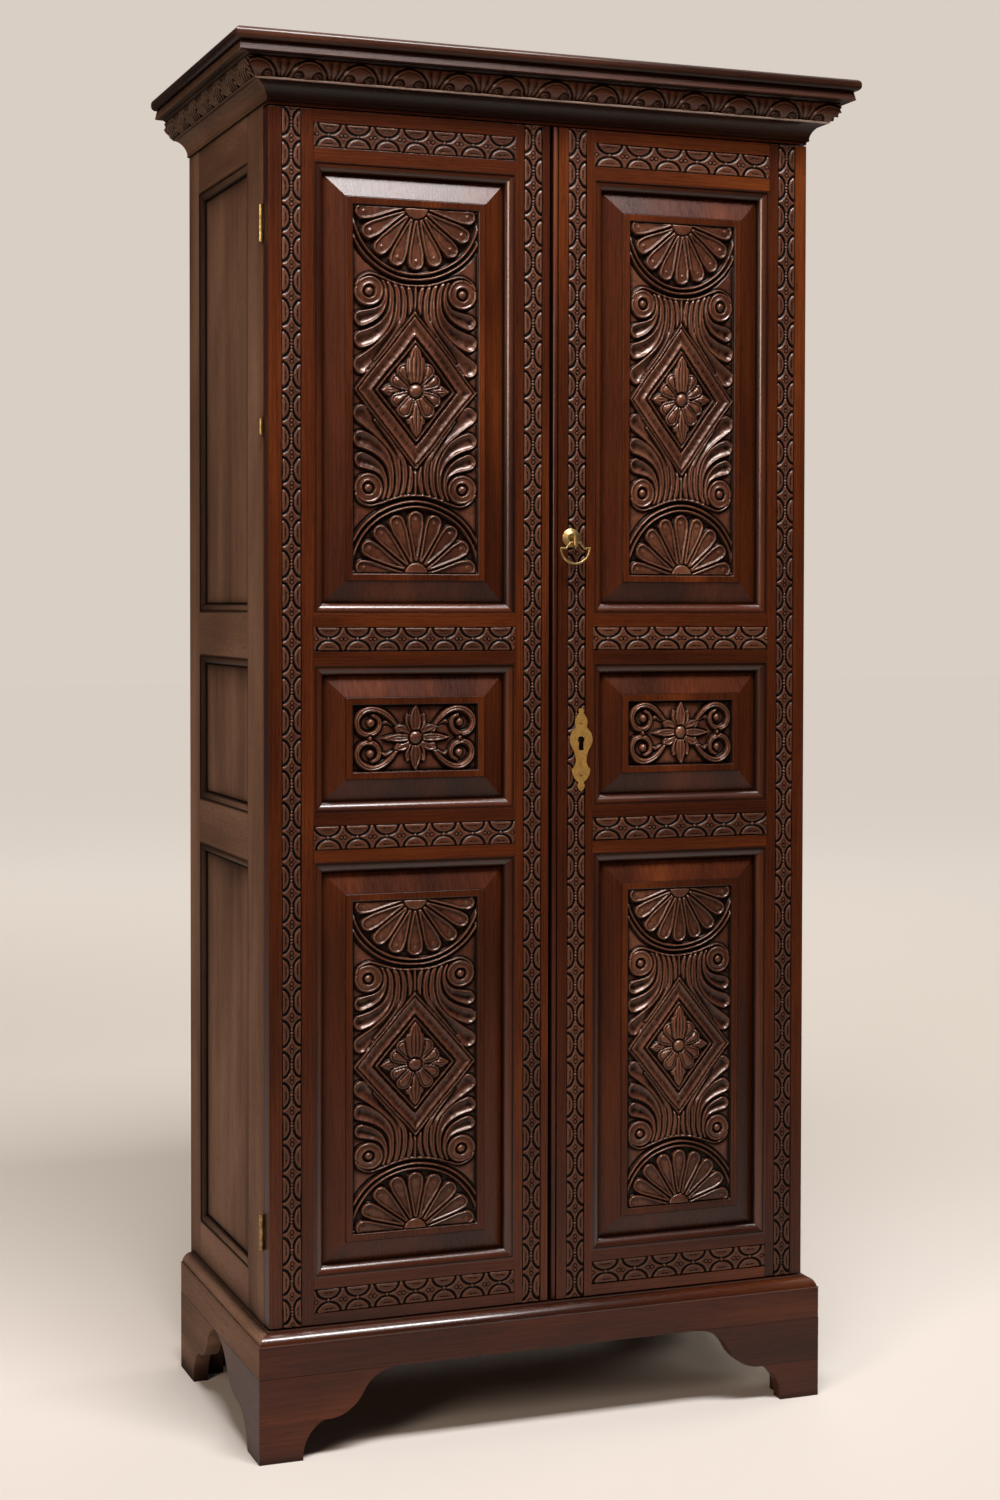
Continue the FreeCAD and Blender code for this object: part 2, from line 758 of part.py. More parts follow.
# ---------------------------------------------------------------- base frame and bracket feet
def base_frame():
    """Plinth rails with bearers behind them, and the base moulding that covers the joint."""
    reach = size("plinthReach")
    thick = size("plinthThickness")
    tall = size("plinthRailHeight")
    plinth_back = back - size("plinthBackInset")
    outer = half_width + reach
    nose = door_face - reach
    front_run = mitred_strip("plinth_front", rectangle(0, 0, thick, tall), outer * 2, thick, "lr")
    nodes["plinth_front"] = place(front_run, (-outer, nose, rail_base))
    length = plinth_back - nose
    left_run = mitred_strip("plinth_left", rectangle(0, 0, thick, tall), length, thick, "r")
    place(left_run, (-outer, plinth_back, rail_base), FreeCAD.Rotation(ABOUT_Z, -90))
    right_run = mitred_strip("plinth_right", rectangle(0, 0, thick, tall), length, thick, "l")
    place(right_run, (outer, nose, rail_base), FreeCAD.Rotation(ABOUT_Z, 90))
    inner = outer - thick
    back_run = board("plinth_back", (-inner, plinth_back - thick, rail_base),
                     (inner * 2, thick, tall))
    nodes["plinth_sides"] = group("plinth_sides", [left_run, right_run])
    nodes["plinth_back"] = back_run

    block = size("bearerThickness")
    low = plinth_top - block
    bearer_front = nose + thick
    bearer_back = plinth_back - thick
    bearers = [
        board("bearer_left", (-inner, bearer_front, low), (block, bearer_back - bearer_front, block)),
        board("bearer_right", (inner - block, bearer_front, low),
              (block, bearer_back - bearer_front, block)),
        board("bearer_front", (block - inner, bearer_front, low),
              ((inner - block) * 2, block, block)),
        board("bearer_back", (block - inner, bearer_back - block, low),
              ((inner - block) * 2, block, block)),
    ]
    nodes["base_bearers"] = group("base_bearers", bearers)

    high = size("baseMouldHeight")
    fillet = size("baseMouldFillet")
    top = reach - size("baseMouldTop")

    def section(depth):
        return [(depth, 0), (depth, high), (top, high), (top, high - fillet),
                (fillet, fillet, -0.74), (0, fillet), (0, 0)]

    depth = case_front - door_face + reach
    run_round("base_moulding", section(reach), reach, depth, plinth_top, plinth_back,
              section(depth))
    return outer, nose, inner, plinth_back


def lower_outline(width, top):
    """Foot block seen square on: upright inner side that sweeps out under the bracket."""
    high = size("lowerBlockHeight")
    return [(0, 0), (width, 0), (top, high, 0.9), (0, high)]


def upper_outline(top, length):
    """Bracket: a flat land on the block, then an ogee of two equal arcs up to the rail."""
    high = size("bracketHeight")
    start = top + size("blockLand")
    middle = (start + length) / 2
    slope = math.atan2(high.value, (length - start).value)
    bow = 1 / (2 * math.sin(slope))
    return [(0, 0), (start, 0), (middle, high / 2, -bow), (length, high, bow), (0, high)]


def flipped(outline, length):
    """The outline seen from the other end."""
    return [(length - x, y, *(-turn for turn in bow)) for x, y, *bow in outline]


def foot_board(name, wall, outline, x, z, mitre_at=None):
    """A shaped foot board, its face on the wall's face, mitred at a corner where one is given."""
    thick = size("plinthThickness")
    body = pad(new_body(name), "XY_Plane", outline, thick)
    if mitre_at is not None:
        inward = mitre_at[1]
        tip = as_dim(mitre_at[0])
        cut_through(body, "XZ_Plane", [[(tip, 0), (tip + thick * inward, 0), (tip, thick)]])
    return wall.put(body, x, thick, z, UPRIGHT)


def bracket_feet(outer, nose, inner, plinth_back):
    """Four feet: mitred brackets over lower blocks, each with a glue block in its corner."""
    block_high = size("lowerBlockHeight")
    front_wall = Wall((-outer, nose, as_dim(0)), 0)
    left_wall = Wall((-outer, plinth_back, as_dim(0)), -1)
    right_wall = Wall((outer, nose, as_dim(0)), 1)
    whole_front = outer * 2
    whole_side = plinth_back - nose
    side_length = size("sideBracketLength")
    rear_length = whole_side - side_length
    front_length = size("frontBracketLength")
    post = size("glueBlockWidth")
    thick = size("plinthThickness")
    for side in ("left", "right"):
        is_left = side == "left"
        pieces = []
        for part, outline, length, z in (
                ("block", lower_outline(size("frontFootWidth"), size("frontBlockTop")),
                 size("frontBlockTop"), as_dim(0)),
                ("bracket", upper_outline(size("frontBlockTop"), front_length), front_length,
                 block_high)):
            if is_left:
                pieces.append(foot_board(f"front_left_{part}", front_wall, outline, 0, z, (0, 1)))
            else:
                pieces.append(foot_board(f"front_right_{part}", front_wall,
                                         flipped(outline, length), whole_front - length, z,
                                         (length, -1)))
        wall = left_wall if is_left else right_wall
        for part, outline, length, z in (
                ("side_block", lower_outline(size("frontFootWidth"), size("sideBlockTop")),
                 size("sideBlockTop"), as_dim(0)),
                ("side_bracket", upper_outline(size("sideBlockTop"), side_length), side_length,
                 block_high)):
            if is_left:
                pieces.append(foot_board(f"front_left_{part}", wall, flipped(outline, length),
                                         whole_side - length, z, (length, -1)))
            else:
                pieces.append(foot_board(f"front_right_{part}", wall, outline, 0, z, (0, 1)))
        post_x = -inner if is_left else inner - post
        high = plinth_top - size("bearerThickness")
        pieces.append(board(f"front_{side}_glue_block", (post_x, nose + thick, as_dim(0)),
                            (post, post, high)))
        nodes[f"front_{side}_foot"] = group(f"front_{side}_foot", pieces)

        pieces = []
        for part, outline, length, z in (
                ("block", lower_outline(size("rearFootWidth"), size("sideBlockTop")),
                 size("sideBlockTop"), as_dim(0)),
                ("bracket", upper_outline(size("sideBlockTop"), rear_length), rear_length,
                 block_high)):
            if is_left:
                pieces.append(foot_board(f"rear_left_{part}", wall, outline, 0, z))
            else:
                pieces.append(foot_board(f"rear_right_{part}", wall, flipped(outline, length),
                                         whole_side - length, z))
        back_wall = Wall((-inner, plinth_back - thick, as_dim(0)), 0)
        span = size("backBracketLength")
        slope = [(0, 0), (size("frontFootWidth"), 0), (span, rail_base), (0, rail_base)]
        start = as_dim(0)
        if not is_left:
            slope = flipped(slope, span)
            start = inner * 2 - span
        pieces.append(foot_board(f"rear_{side}_back_board", back_wall, slope, start, as_dim(0)))
        pieces.append(board(f"rear_{side}_glue_block",
                            (post_x, plinth_back - thick - post, as_dim(0)), (post, post, high)))
        nodes[f"rear_{side}_foot"] = group(f"rear_{side}_foot", pieces)


# ---------------------------------------------------------------- hinges
def hinges():
    """Three butt hinges a side; their knuckles stand proud of the side on the joint line."""
    axis_y = case_front - size("doorSeat") / 2
    half_gap = size("leafGap") / 2
    thick = size("leafThickness")
    proud = size("hingeProud")
    radius = size("knuckleRadius")
    bore = size("pinRadius") + size("pinFit")
    levels = (("lower", door_bottom + size("lowerHingeRise"), size("lowerHingeHeight")),
              ("middle", door_top - size("middleHingeDrop"), size("middleHingeHeight")),
              ("upper", door_top - size("upperHingeDrop"), size("upperHingeHeight")))
    pins = []
    for side, sign in (("left", -1), ("right", 1)):
        axis_x = (half_width + proud) * sign
        plate_x = -half_width if sign < 0 else half_width - size("leafWidth")
        tab_x = axis_x if sign < 0 else half_width
        leaves = {"door": [], "case": []}
        for tag, level, height in levels:
            step = height / KNUCKLE_COUNT
            for owner, plate_y in (("case", axis_y + half_gap),
                                   ("door", axis_y - half_gap - thick)):
                name = f"{side}_{tag}_hinge_{owner}"
                extent = (size("leafWidth"), thick, height)
                corner = (plate_x, plate_y, level)
                pieces = [board(name + "_plate", corner, extent)]
                for number in range(0 if owner == "case" else 1, KNUCKLE_COUNT, 2):
                    low = level + step * number + size("knuckleGap") / 2
                    tall = step - size("knuckleGap")
                    pieces.append(board(f"{name}_tab_{number}", (tab_x, plate_y, low),
                                        (proud, thick, tall)))
                    pieces.append(cylinder(f"{name}_knuckle_{number}", (axis_x, axis_y, low),
                                           radius, tall))
                solid = fuse(name + "_solid", pieces)
                drill = cylinder(name + "_bore", (axis_x, axis_y, level - 1), bore, height + 2)
                leaves[owner].append(cut(name, solid, [drill]))
                wood = f"{side}_hinge_stile" if owner == "door" else f"{side}_front_stile"
                recesses.setdefault(wood, []).append(board(name + "_recess", corner, extent))
            pins.append(cylinder(f"{side}_{tag}_hinge_pin", (axis_x, axis_y, level),
                                 size("pinRadius"), height))
        nodes[f"{side}_case_leaves"] = group(f"{side}_case_leaves", leaves["case"])
        nodes[f"{side}_door_leaves"] = group(f"{side}_door_leaves", leaves["door"])
    nodes["hinge_pins"] = group("hinge_pins", pins)


# ---------------------------------------------------------------- ring pull
def turning(name, role, outline):
    """A turned piece: half its outline on an upright plane, revolved about the sketch's y axis."""
    body = new_body(name)
    turned = body.newObject("PartDesign::Revolution", name + "_turning")
    turned.Profile = sketch_on(body, role, [outline])
    turned.ReferenceAxis = (turned.Profile[0], ["V_Axis"])
    turned.Angle = 360
    return body


def ring_pull():
    """Stepped rosette and drop-headed post; the ring hangs in a cross bore of the head."""
    x = right_edge + size("ringFromMeetingEdge")
    level = door_bottom + size("ringRise")
    plate_level = level + size("rosetteLift")
    edge = size("rosetteRadius")
    rise = size("rosetteRise")
    post = size("postRadius")
    rosette = turning("ring_rosette", "XY_Plane", [
        (0, 0), (edge, 0), (edge, rise / 3), (edge * 0.5, rise), (0, rise)])
    place(rosette, (x, door_face, plate_level), FreeCAD.Rotation(ABOUT_Z, 180))

    head_y = door_face - size("headRise")
    head_radius = size("headRadius")
    stem = cylinder("ring_post", (x, door_face, plate_level), post, size("headRise"),
                    FreeCAD.Rotation(ABOUT_X, 90))
    head = turning("ring_head", "XZ_Plane", [
        (0, 0), (head_radius * 0.8, head_radius * 1.2), (head_radius * 0.8, head_radius * 3.9),
        (0, head_radius * 3.9)])
    place(head, (x, head_y, level - head_radius * 1.8))
    wire = size("ringWire")
    eye = cylinder("ring_eye", (x - head_radius * 2, head_y, level), wire + size("ringEyeFit"),
                   head_radius * 4, FreeCAD.Rotation(ABOUT_Y, 90))
    nodes["ring_plate"] = cut("ring_plate", fuse("ring_plate_solid", [rosette, stem, head]), [eye])

    bar_half = head_radius + wire
    side_x = size("ringHalfWidth")
    knee_x = (bar_half + side_x) / 2
    drop = size("ringShoulder")
    ring = new_body("ring_pull")
    pipe = ring.newObject("PartDesign::AdditivePipe", "ring_pull_wire")
    pipe.Profile = sketch_on(ring, "YZ_Plane", [octagon(wire)])
    pipe.Spine = sketch_on(ring, "XZ_Plane", [[
        (-knee_x, -drop), (-bar_half, 0), (bar_half, 0), (knee_x, -drop), (side_x, -drop),
        (-side_x, -drop, 0.5001)]])
    pipe.Transition = "Right corner"
    nodes["ring_pull"] = place(ring, (x, head_y, level))


def octagon(radius):
    """An eight-sided wire section that measures the same across its flats and its corners' span."""
    half = radius * math.tan(math.pi / 8)
    return [(radius, half), (half, radius), (-half, radius), (-radius, half),
            (-radius, -half), (-half, -radius), (half, -radius), (radius, -half)]


# ---------------------------------------------------------------- lock, key plate and keep
def keyhole(name, x, level, from_y, through, grow):
    """A cutter for a keyhole: a round eye over a straight slot, running along y."""
    eye = cylinder(name + "_eye", (x, from_y + through, level), size("keyEyeRadius") + grow,
                   through, FreeCAD.Rotation(ABOUT_X, 90))
    width = size("keySlotWidth") + grow * 2
    drop = size("keySlotDrop") + grow
    slot = board(name + "_slot", (x - width / 2, from_y, level - drop), (width, through, drop))
    return fuse(name, [eye, slot])


def key_plate(x, level):
    """Brass key plate: a waisted shield with a lobe and finial at each end and two pins."""
    half_outline = [(0, -72.5), (5.5, -64.5, -1.2), (4, -59.5), (13.9, -41, -1.1), (8, -31, 1.4),
                    (14.6, -9, 1.6), (11, 14.5, -0.8), (8.4, 18), (9.6, 25.5), (3.2, 37.5, -1.5),
                    (4.2, 41), (0, 44.5, -0.75)]
    # the sketch lies to the right of its axes and above them
    middle, foot = 20, 72.5
    right_side = [(middle + px, py + foot, *bow) for px, py, *bow in half_outline]
    left_side = []
    for index in range(len(half_outline) - 2, 0, -1):
        px, py = half_outline[index][:2]
        bow = half_outline[index + 1][2:]
        left_side.append((middle - px, py + foot, *bow))
    closing = half_outline[1][2:]
    outline = [(*right_side[0][:2], *closing)] + right_side[1:] + left_side
    thick = size("plateThickness")
    plate = pad(new_body("key_plate_blank"), "XY_Plane", outline, thick)
    place(plate, (x - middle, door_face, level - foot), UPRIGHT)
    hole = keyhole("key_plate_hole", x, level, door_face - thick - 1, thick + 2, 0)
    pierced = cut("key_plate_pierced", plate, [hole])
    pins = []
    for tag, offset in (("upper", 25), ("lower", -47)):
        pins.append(cylinder(f"key_plate_pin_{tag}", (x, door_face, level + offset),
                             size("platePinRadius"), thick + size("platePinRise"),
                             FreeCAD.Rotation(ABOUT_X, 90)))
    nodes["key_plate"] = fuse("key_plate", [pierced] + pins)


def lock():
    """Rim lock on the back of the right door, its bolt, and a keep on the left door."""
    x = right_edge + size("keyFromMeetingEdge")
    level = door_bottom + size("keyRise")
    wall = size("lockWall")
    wide = size("lockWidth")
    high = size("lockHeight")
    deep = size("lockThickness")
    start = right_edge + 2
    low = level - high * 0.6
    bolt_high = size("boltHeight")
    bolt_thick = size("boltThickness")
    bolt_low = level + size("keyEyeRadius") + size("keyBore") + 1
    bolt_y = door_back + (deep - bolt_thick) / 2
    play = size("boltRunningFit")
    key_plate(x, level)
    case = board("lock_body", (start, door_back, low), (wide, deep, high))
    hollow = board("lock_hollow", (start + wall, door_back + wall, low + wall),
                   (wide - wall * 2, deep - wall * 2, high - wall * 2))
    mouth = board("lock_mouth", (start - 1, bolt_y - play, bolt_low - play),
                  (wall + 2, bolt_thick + play * 2, bolt_high + play * 2))
    hole = keyhole("lock_keyhole", x, level, door_back - 1, wall + 2, 0)
    nodes["lock_case"] = cut("lock_case", case, [hollow, mouth, hole])
    nodes["lock_bolt"] = board("lock_bolt", (start + size("boltBack"), bolt_y, bolt_low),
                               (size("boltLength"), bolt_thick, bolt_high))
    recesses.setdefault("right_meeting_stile", []).append(
        keyhole("stile_keyhole", x, level, door_face - 1, size("doorThickness") + 2,
                size("keyBore")))
    keep_reach = size("keepReach")
    lip = wall * 2
    keep_x = left_edge - 2 - keep_reach
    keep = board("keep_body", (keep_x, door_back, bolt_low - lip),
                 (keep_reach, deep, bolt_high + lip * 2))
    socket = board("keep_socket", (keep_x + lip, bolt_y - wall, bolt_low - wall),
                   (keep_reach, bolt_thick + wall * 2, bolt_high + wall * 2))
    nodes["lock_keep"] = cut("lock_keep", keep, [socket])


# ---------------------------------------------------------------- sliding bolts of the left door
def slide_bolts():
    """Barrel bolts at the head and foot of the left door, shooting into plated holes."""
    x = left_edge - size("slideBoltFromEdge")
    radius = size("slideBoltRadius")
    plate = size("plateThickness")
    deep = size("guideDepth")
    y = door_back + deep - radius - plate
    keeper = size("keeperThickness")
    rest = size("slideBoltBack")
    length = size("slideBoltLength")
    plate_long = size("slidePlateLength")
    plate_wide = size("slidePlateWidth")
    guide_high = size("guideHeight")
    guide_wide = plate_wide * 2 / 3
    hole_radius = radius + size("boltHoleFit")
    travel = size("slideBoltTravel")
    bores, guides, keepers = {}, [], []
    for tag, sign, face in (("top", 1, top_rail_bottom), ("bottom", -1, floor_top)):
        tip = face - (keeper + rest) * sign
        low = tip - length if sign > 0 else tip
        knob_level = tip - (length / 2) * sign
        knob = cylinder(f"{tag}_bolt_knob", (x, y + deep, knob_level), size("slideKnobRadius"),
                        deep, FreeCAD.Rotation(ABOUT_X, 90))
        rod = cylinder(f"{tag}_bolt_rod", (x, y, low), radius, length)
        nodes[f"{tag}_bolt"] = fuse(f"{tag}_bolt", [rod, knob])
        plate_end = tip - guide_high * sign
        plate_low = plate_end - plate_long if sign > 0 else plate_end
        pieces = [board(f"{tag}_bolt_plate", (x - plate_wide / 2, door_back, plate_low),
                        (plate_wide, plate, plate_long))]
        for end, z in (("low", plate_low), ("high", plate_low + plate_long - guide_high)):
            pieces.append(board(f"{tag}_bolt_guide_{end}", (x - guide_wide / 2, door_back, z),
                                (guide_wide, deep, guide_high)))
        blank = fuse(f"{tag}_bolt_guides_blank", pieces)
        drill = cylinder(f"{tag}_bolt_guide_bore", (x, y, plate_low - 1),
                         radius + size("pinFit"), plate_long + 2)
        guides.append(cut(f"{tag}_bolt_guides", blank, [drill]))
        keeper_low = face - keeper if sign > 0 else face
        blank = board(f"{tag}_keeper_blank", (x - plate_wide / 2, case_front, keeper_low),
                      (plate_wide, deep, keeper))
        drill = cylinder(f"{tag}_keeper_bore", (x, y, keeper_low - 1), hole_radius, keeper + 2)
        keepers.append(cut(f"{tag}_keeper", blank, [drill]))
        socket_low = face - 1 if sign > 0 else face - travel
        bores[tag] = cylinder(f"{tag}_rail_bore", (x, y, socket_low), hole_radius, travel + 1)
    nodes["bolt_guides"] = group("bolt_guides", guides)
    nodes["bolt_keepers"] = group("bolt_keepers", keepers)
    return bores


top_rail, bottom_rail, frieze = case_boards()
cornice()
bracket_feet(*base_frame())
hinges()
ring_pull()
lock()
bolt_bores = slide_bolts()
nodes["case_front_rails"] = group("case_front_rails", [
    cut("front_top_rail_bored", top_rail, [bolt_bores["top"]]),
    cut("front_bottom_rail_bored", bottom_rail, [bolt_bores["bottom"]]), frieze])
for name, body in stile_nodes.items():
    tools = recesses.get(name)
    body.Label = name + "_blank" if tools else name
    nodes[name] = cut(name + "_cut", body, tools) if tools else body

doc.recompute()
for item in doc.Objects:
    bad = [state for state in item.State if state in ("Invalid", "Error")]
    if bad:
        raise RuntimeError(f"{item.Label}: {bad}")
for name, item in nodes.items():
    item.Label = name
    shape = item.Shape
    if shape.isNull() or not shape.isValid() or not shape.Solids:
        raise RuntimeError(f"{name}: no valid solid")

os.makedirs("parts", exist_ok=True)
for name, item in nodes.items():
    item.Shape.exportStep(f"parts/{name}.step")
print(len(nodes), "nodes,", sum(len(item.Shape.Solids) for item in nodes.values()), "solids")
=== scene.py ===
import bpy
import math
import numpy as np
from mathutils import Euler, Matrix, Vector


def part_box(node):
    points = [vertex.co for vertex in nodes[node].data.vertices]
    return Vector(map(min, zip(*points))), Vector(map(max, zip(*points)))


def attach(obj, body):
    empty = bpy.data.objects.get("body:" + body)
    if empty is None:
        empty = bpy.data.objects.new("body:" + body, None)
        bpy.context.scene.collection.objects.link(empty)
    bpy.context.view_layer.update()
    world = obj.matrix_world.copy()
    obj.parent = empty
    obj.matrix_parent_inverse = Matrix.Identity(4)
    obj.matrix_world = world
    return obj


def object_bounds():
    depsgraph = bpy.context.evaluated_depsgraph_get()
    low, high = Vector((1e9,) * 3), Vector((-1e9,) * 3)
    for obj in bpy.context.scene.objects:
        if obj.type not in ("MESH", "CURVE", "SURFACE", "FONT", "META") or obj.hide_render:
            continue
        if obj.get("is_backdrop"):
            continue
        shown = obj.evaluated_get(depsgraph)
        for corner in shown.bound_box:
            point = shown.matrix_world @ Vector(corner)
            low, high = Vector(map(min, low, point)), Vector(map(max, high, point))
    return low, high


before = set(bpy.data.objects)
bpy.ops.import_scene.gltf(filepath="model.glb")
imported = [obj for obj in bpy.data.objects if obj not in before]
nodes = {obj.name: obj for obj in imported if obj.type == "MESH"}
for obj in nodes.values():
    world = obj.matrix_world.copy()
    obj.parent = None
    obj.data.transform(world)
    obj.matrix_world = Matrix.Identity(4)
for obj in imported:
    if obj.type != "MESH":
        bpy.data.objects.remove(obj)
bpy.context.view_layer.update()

# Carved oak linen press. Lengths in the carving code are millimetres; meshes are in metres.
# World: x to the right, y into the press, z up. Door faces lie at y = -196 mm.

scene = bpy.context.scene
mm = 0.001
sides = {"left": -1, "right": 1}      # and the direction of each along x


def boxOf(node):
    # low and high corner of a node in mm
    return [np.array(corner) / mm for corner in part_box(node)]


doorFace = boxOf("left_hinge_stile")[0][1]
cornerRear = boxOf("crown_sides")[1][1]
framing = {
    "tongue": 7.8,           # how far a panel goes into its groove
    "doorMoulding": 15.0,
    "sideMoulding": 13.0,
    "caseHalf": 400.0,       # the cornice stands out from here
    # openings of the case side: foot and head of each, and the rail above the last one
    "sideFeet": (229.0, 860.0, 1137.0),
    "sideHeads": (797.5, 1076.0),
    "sideTopRail": 128.5,
}


# shaping functions
def smooth(low, high, value):
    # cubic step: t = (value - low) / (high - low), then 3t^2 - 2t^3
    t = np.clip((value - low) / (high - low), 0, 1)
    return t * t * (3 - 2 * t)


def ridge(offset, half):
    # rounded ridge: (1 - (offset / half)^2)^2, zero beyond the half width
    t = np.clip(np.abs(offset) / half, 0, 1)
    return (1 - t * t) ** 2


def dome(radius, reach):
    # half ball seen from above: sqrt(1 - (radius / reach)^2)
    return np.sqrt(np.clip(1 - (radius / reach) ** 2, 0, 1))


def ballIn(height, radius, ball, gap, floor, base, rise):
    # ball in a sunk eye: floor out to ball + gap, then base + rise times the half ball
    height = np.where(radius < ball + gap, floor, height)
    return np.where(radius < ball, base + dome(radius, ball) * rise, height)


def laid(part, inside, base, edge, moat):
    # a shape covers its base out to an edge; a sunk line runs round it. moat is (how far
    # outside, half width, depth)
    away, half, depth = moat
    return np.where(inside > -edge, part, base - ridge(inside + away, half) * depth)


def turned(x, z, angle):
    # places along and across a ray: (x cos a + z sin a, z cos a - x sin a)
    c, s = math.cos(angle), math.sin(angle)
    return x * c + z * s, z * c - x * s


def repeated(along, pitch):
    # place within one repeat of a pattern, from -pitch / 2 to pitch / 2
    return (along + pitch / 2) % pitch - pitch / 2


def blurred(field, cells):
    # Gaussian blur by Fourier transform: waves fade by exp(-2 (pi f s)^2); edges are mirrored
    pad = int(cells * 3) + 1
    wide = np.pad(field, pad, mode="reflect" if min(field.shape) > pad else "edge")
    rows = np.fft.fftfreq(wide.shape[0])[:, None]
    cols = np.fft.rfftfreq(wide.shape[1])[None, :]
    fade = np.exp(-2 * (math.pi * cells) ** 2 * (rows * rows + cols * cols))
    back = np.fft.irfft2(np.fft.rfft2(wide) * fade, s=wide.shape)
    return back[pad:-pad, pad:-pad]


def wander(shape, waves, cell, seed):
    # hand-cut unevenness: seeded noise, blurred over the waves' width in mm and scaled so
    # that its spread is the amount; waves is (width, amount)
    cells, amount = waves[0] / cell, waves[1]
    noise = blurred(np.random.default_rng(seed).standard_normal(shape), cells)
    return noise * amount / max(noise.std(), 1e-9)


def curvePoints(controls, count=40):
    # Catmull-Rom curve through control rows (x, z, half width): count rows of the same
    controls = np.asarray(controls, float)
    ends = np.vstack([2 * controls[0] - controls[1], controls, 2 * controls[-1] - controls[-2]])
    spot = np.linspace(0, len(controls) - 1, count)
    first = np.minimum(spot.astype(int), len(controls) - 2)
    t = (spot - first)[:, None]
    a, b, c, d = (ends[first + step] for step in range(4))
    return 0.5 * (2 * b + (c - a) * t + (2 * a - 5 * b + 4 * c - d) * t ** 2
                  + (3 * b - a - 3 * c + d) * t ** 3)


def alongCurve(x, z, controls, margin=6):
    # nearest place on a curve: (how far inside its half width, half width there, offset);
    # the point is projected on each piece of the curve, clipped to its ends
    points = curvePoints(controls)
    inside, half, offset = np.full(x.shape, -99.0), np.ones(x.shape), np.full(x.shape, 99.0)
    reach = points[:, 2].max() + margin
    near = ((x > points[:, 0].min() - reach) & (x < points[:, 0].max() + reach)
            & (z > points[:, 1].min() - reach) & (z < points[:, 1].max() + reach))
    if not near.any():
        return inside, half, offset
    px, pz = x[near], z[near]
    best, bestHalf = np.full(px.shape, 1e9), np.ones(px.shape)
    for start, end in zip(points[:-1], points[1:]):
        step = end - start
        length = max(step[0] ** 2 + step[1] ** 2, 1e-9)
        t = np.clip(((px - start[0]) * step[0] + (pz - start[1]) * step[1]) / length, 0, 1)
        away = np.hypot(px - start[0] - t * step[0], pz - start[1] - t * step[1])
        width = start[2] + t * step[2]
        closer = away - width < best - bestHalf
        best = np.where(closer, away, best)
        bestHalf = np.where(closer, width, bestHalf)
    inside[near], half[near], offset[near] = bestHalf - best, bestHalf, best
    return inside, half, offset


# meshes
def readAll(parts, label, width=1, kind=np.float32):
    # one property of every vertex, corner or face, as an array of rows
    values = np.zeros((len(parts), width) if width > 1 else len(parts), kind)
    parts.foreach_get(label, values.ravel())
    return values


def addLayer(mesh, label, values, domain="POINT", kind="FLOAT"):
    # a named attribute, one value or one vector for each point or corner
    layer = mesh.attributes.new(label, kind, domain)
    field = "value" if kind == "FLOAT" else "vector"
    layer.data.foreach_set(field, np.asarray(values, np.float32).ravel())


def addGrain(mesh, axisOf, deep=1):
    # grain holds (along, across, deep) plus a shift that differs from board to board; deep is
    # the axis that the board's face looks along. sideways marks the faces that look along x
    figureShift = np.array([1.7, 0.37], np.float32)
    totals = readAll(mesh.polygons, "loop_total", kind=np.int32)
    faceOf = np.repeat(np.arange(len(totals)), totals)
    corners = readAll(mesh.loops, "vertex_index", kind=np.int32)
    normals = readAll(mesh.polygons, "normal", 3)
    axis, shift = axisOf(readAll(mesh.polygons, "center", 3) / mm, normals)
    inward = [deep if deep != along else (along + 1) % 3 for along in range(3)]
    orders = np.array([[along, 3 - along - inner, inner] for along, inner in enumerate(inward)])
    points = readAll(mesh.vertices, "co", 3)[corners]
    local = np.take_along_axis(points, orders[axis][faceOf], 1)
    local[:, :2] += np.asarray(shift, np.float32)[faceOf, None] * figureShift
    addLayer(mesh, "grain", local, "CORNER", "FLOAT_VECTOR")
    addLayer(mesh, "sideways", (np.abs(normals[:, 0]) > 0.9)[faceOf], "CORNER")


def boardsAlong(axis, shift=0.0, across=2, edges=()):
    # boards that run along one axis; the edges between boards that lie side by side number
    # them, and each board's shift is 0.29 more than the one before
    def axisOf(centres, normals):
        number = np.searchsorted(np.asarray(edges), centres[:, across])
        return np.full(len(centres), axis), shift + number * 0.29
    return axisOf


def newPiece(name, points, faces, body, finishes):
    # a mesh object from points in mm, riding on its body, with its materials
    mesh = bpy.data.meshes.new(name)
    mesh.from_pydata((points * mm).tolist(), [], faces)
    piece = bpy.data.objects.new(name, mesh)
    scene.collection.objects.link(piece)
    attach(piece, body)
    for finish in finishes:
        mesh.materials.append(finish)
    return piece


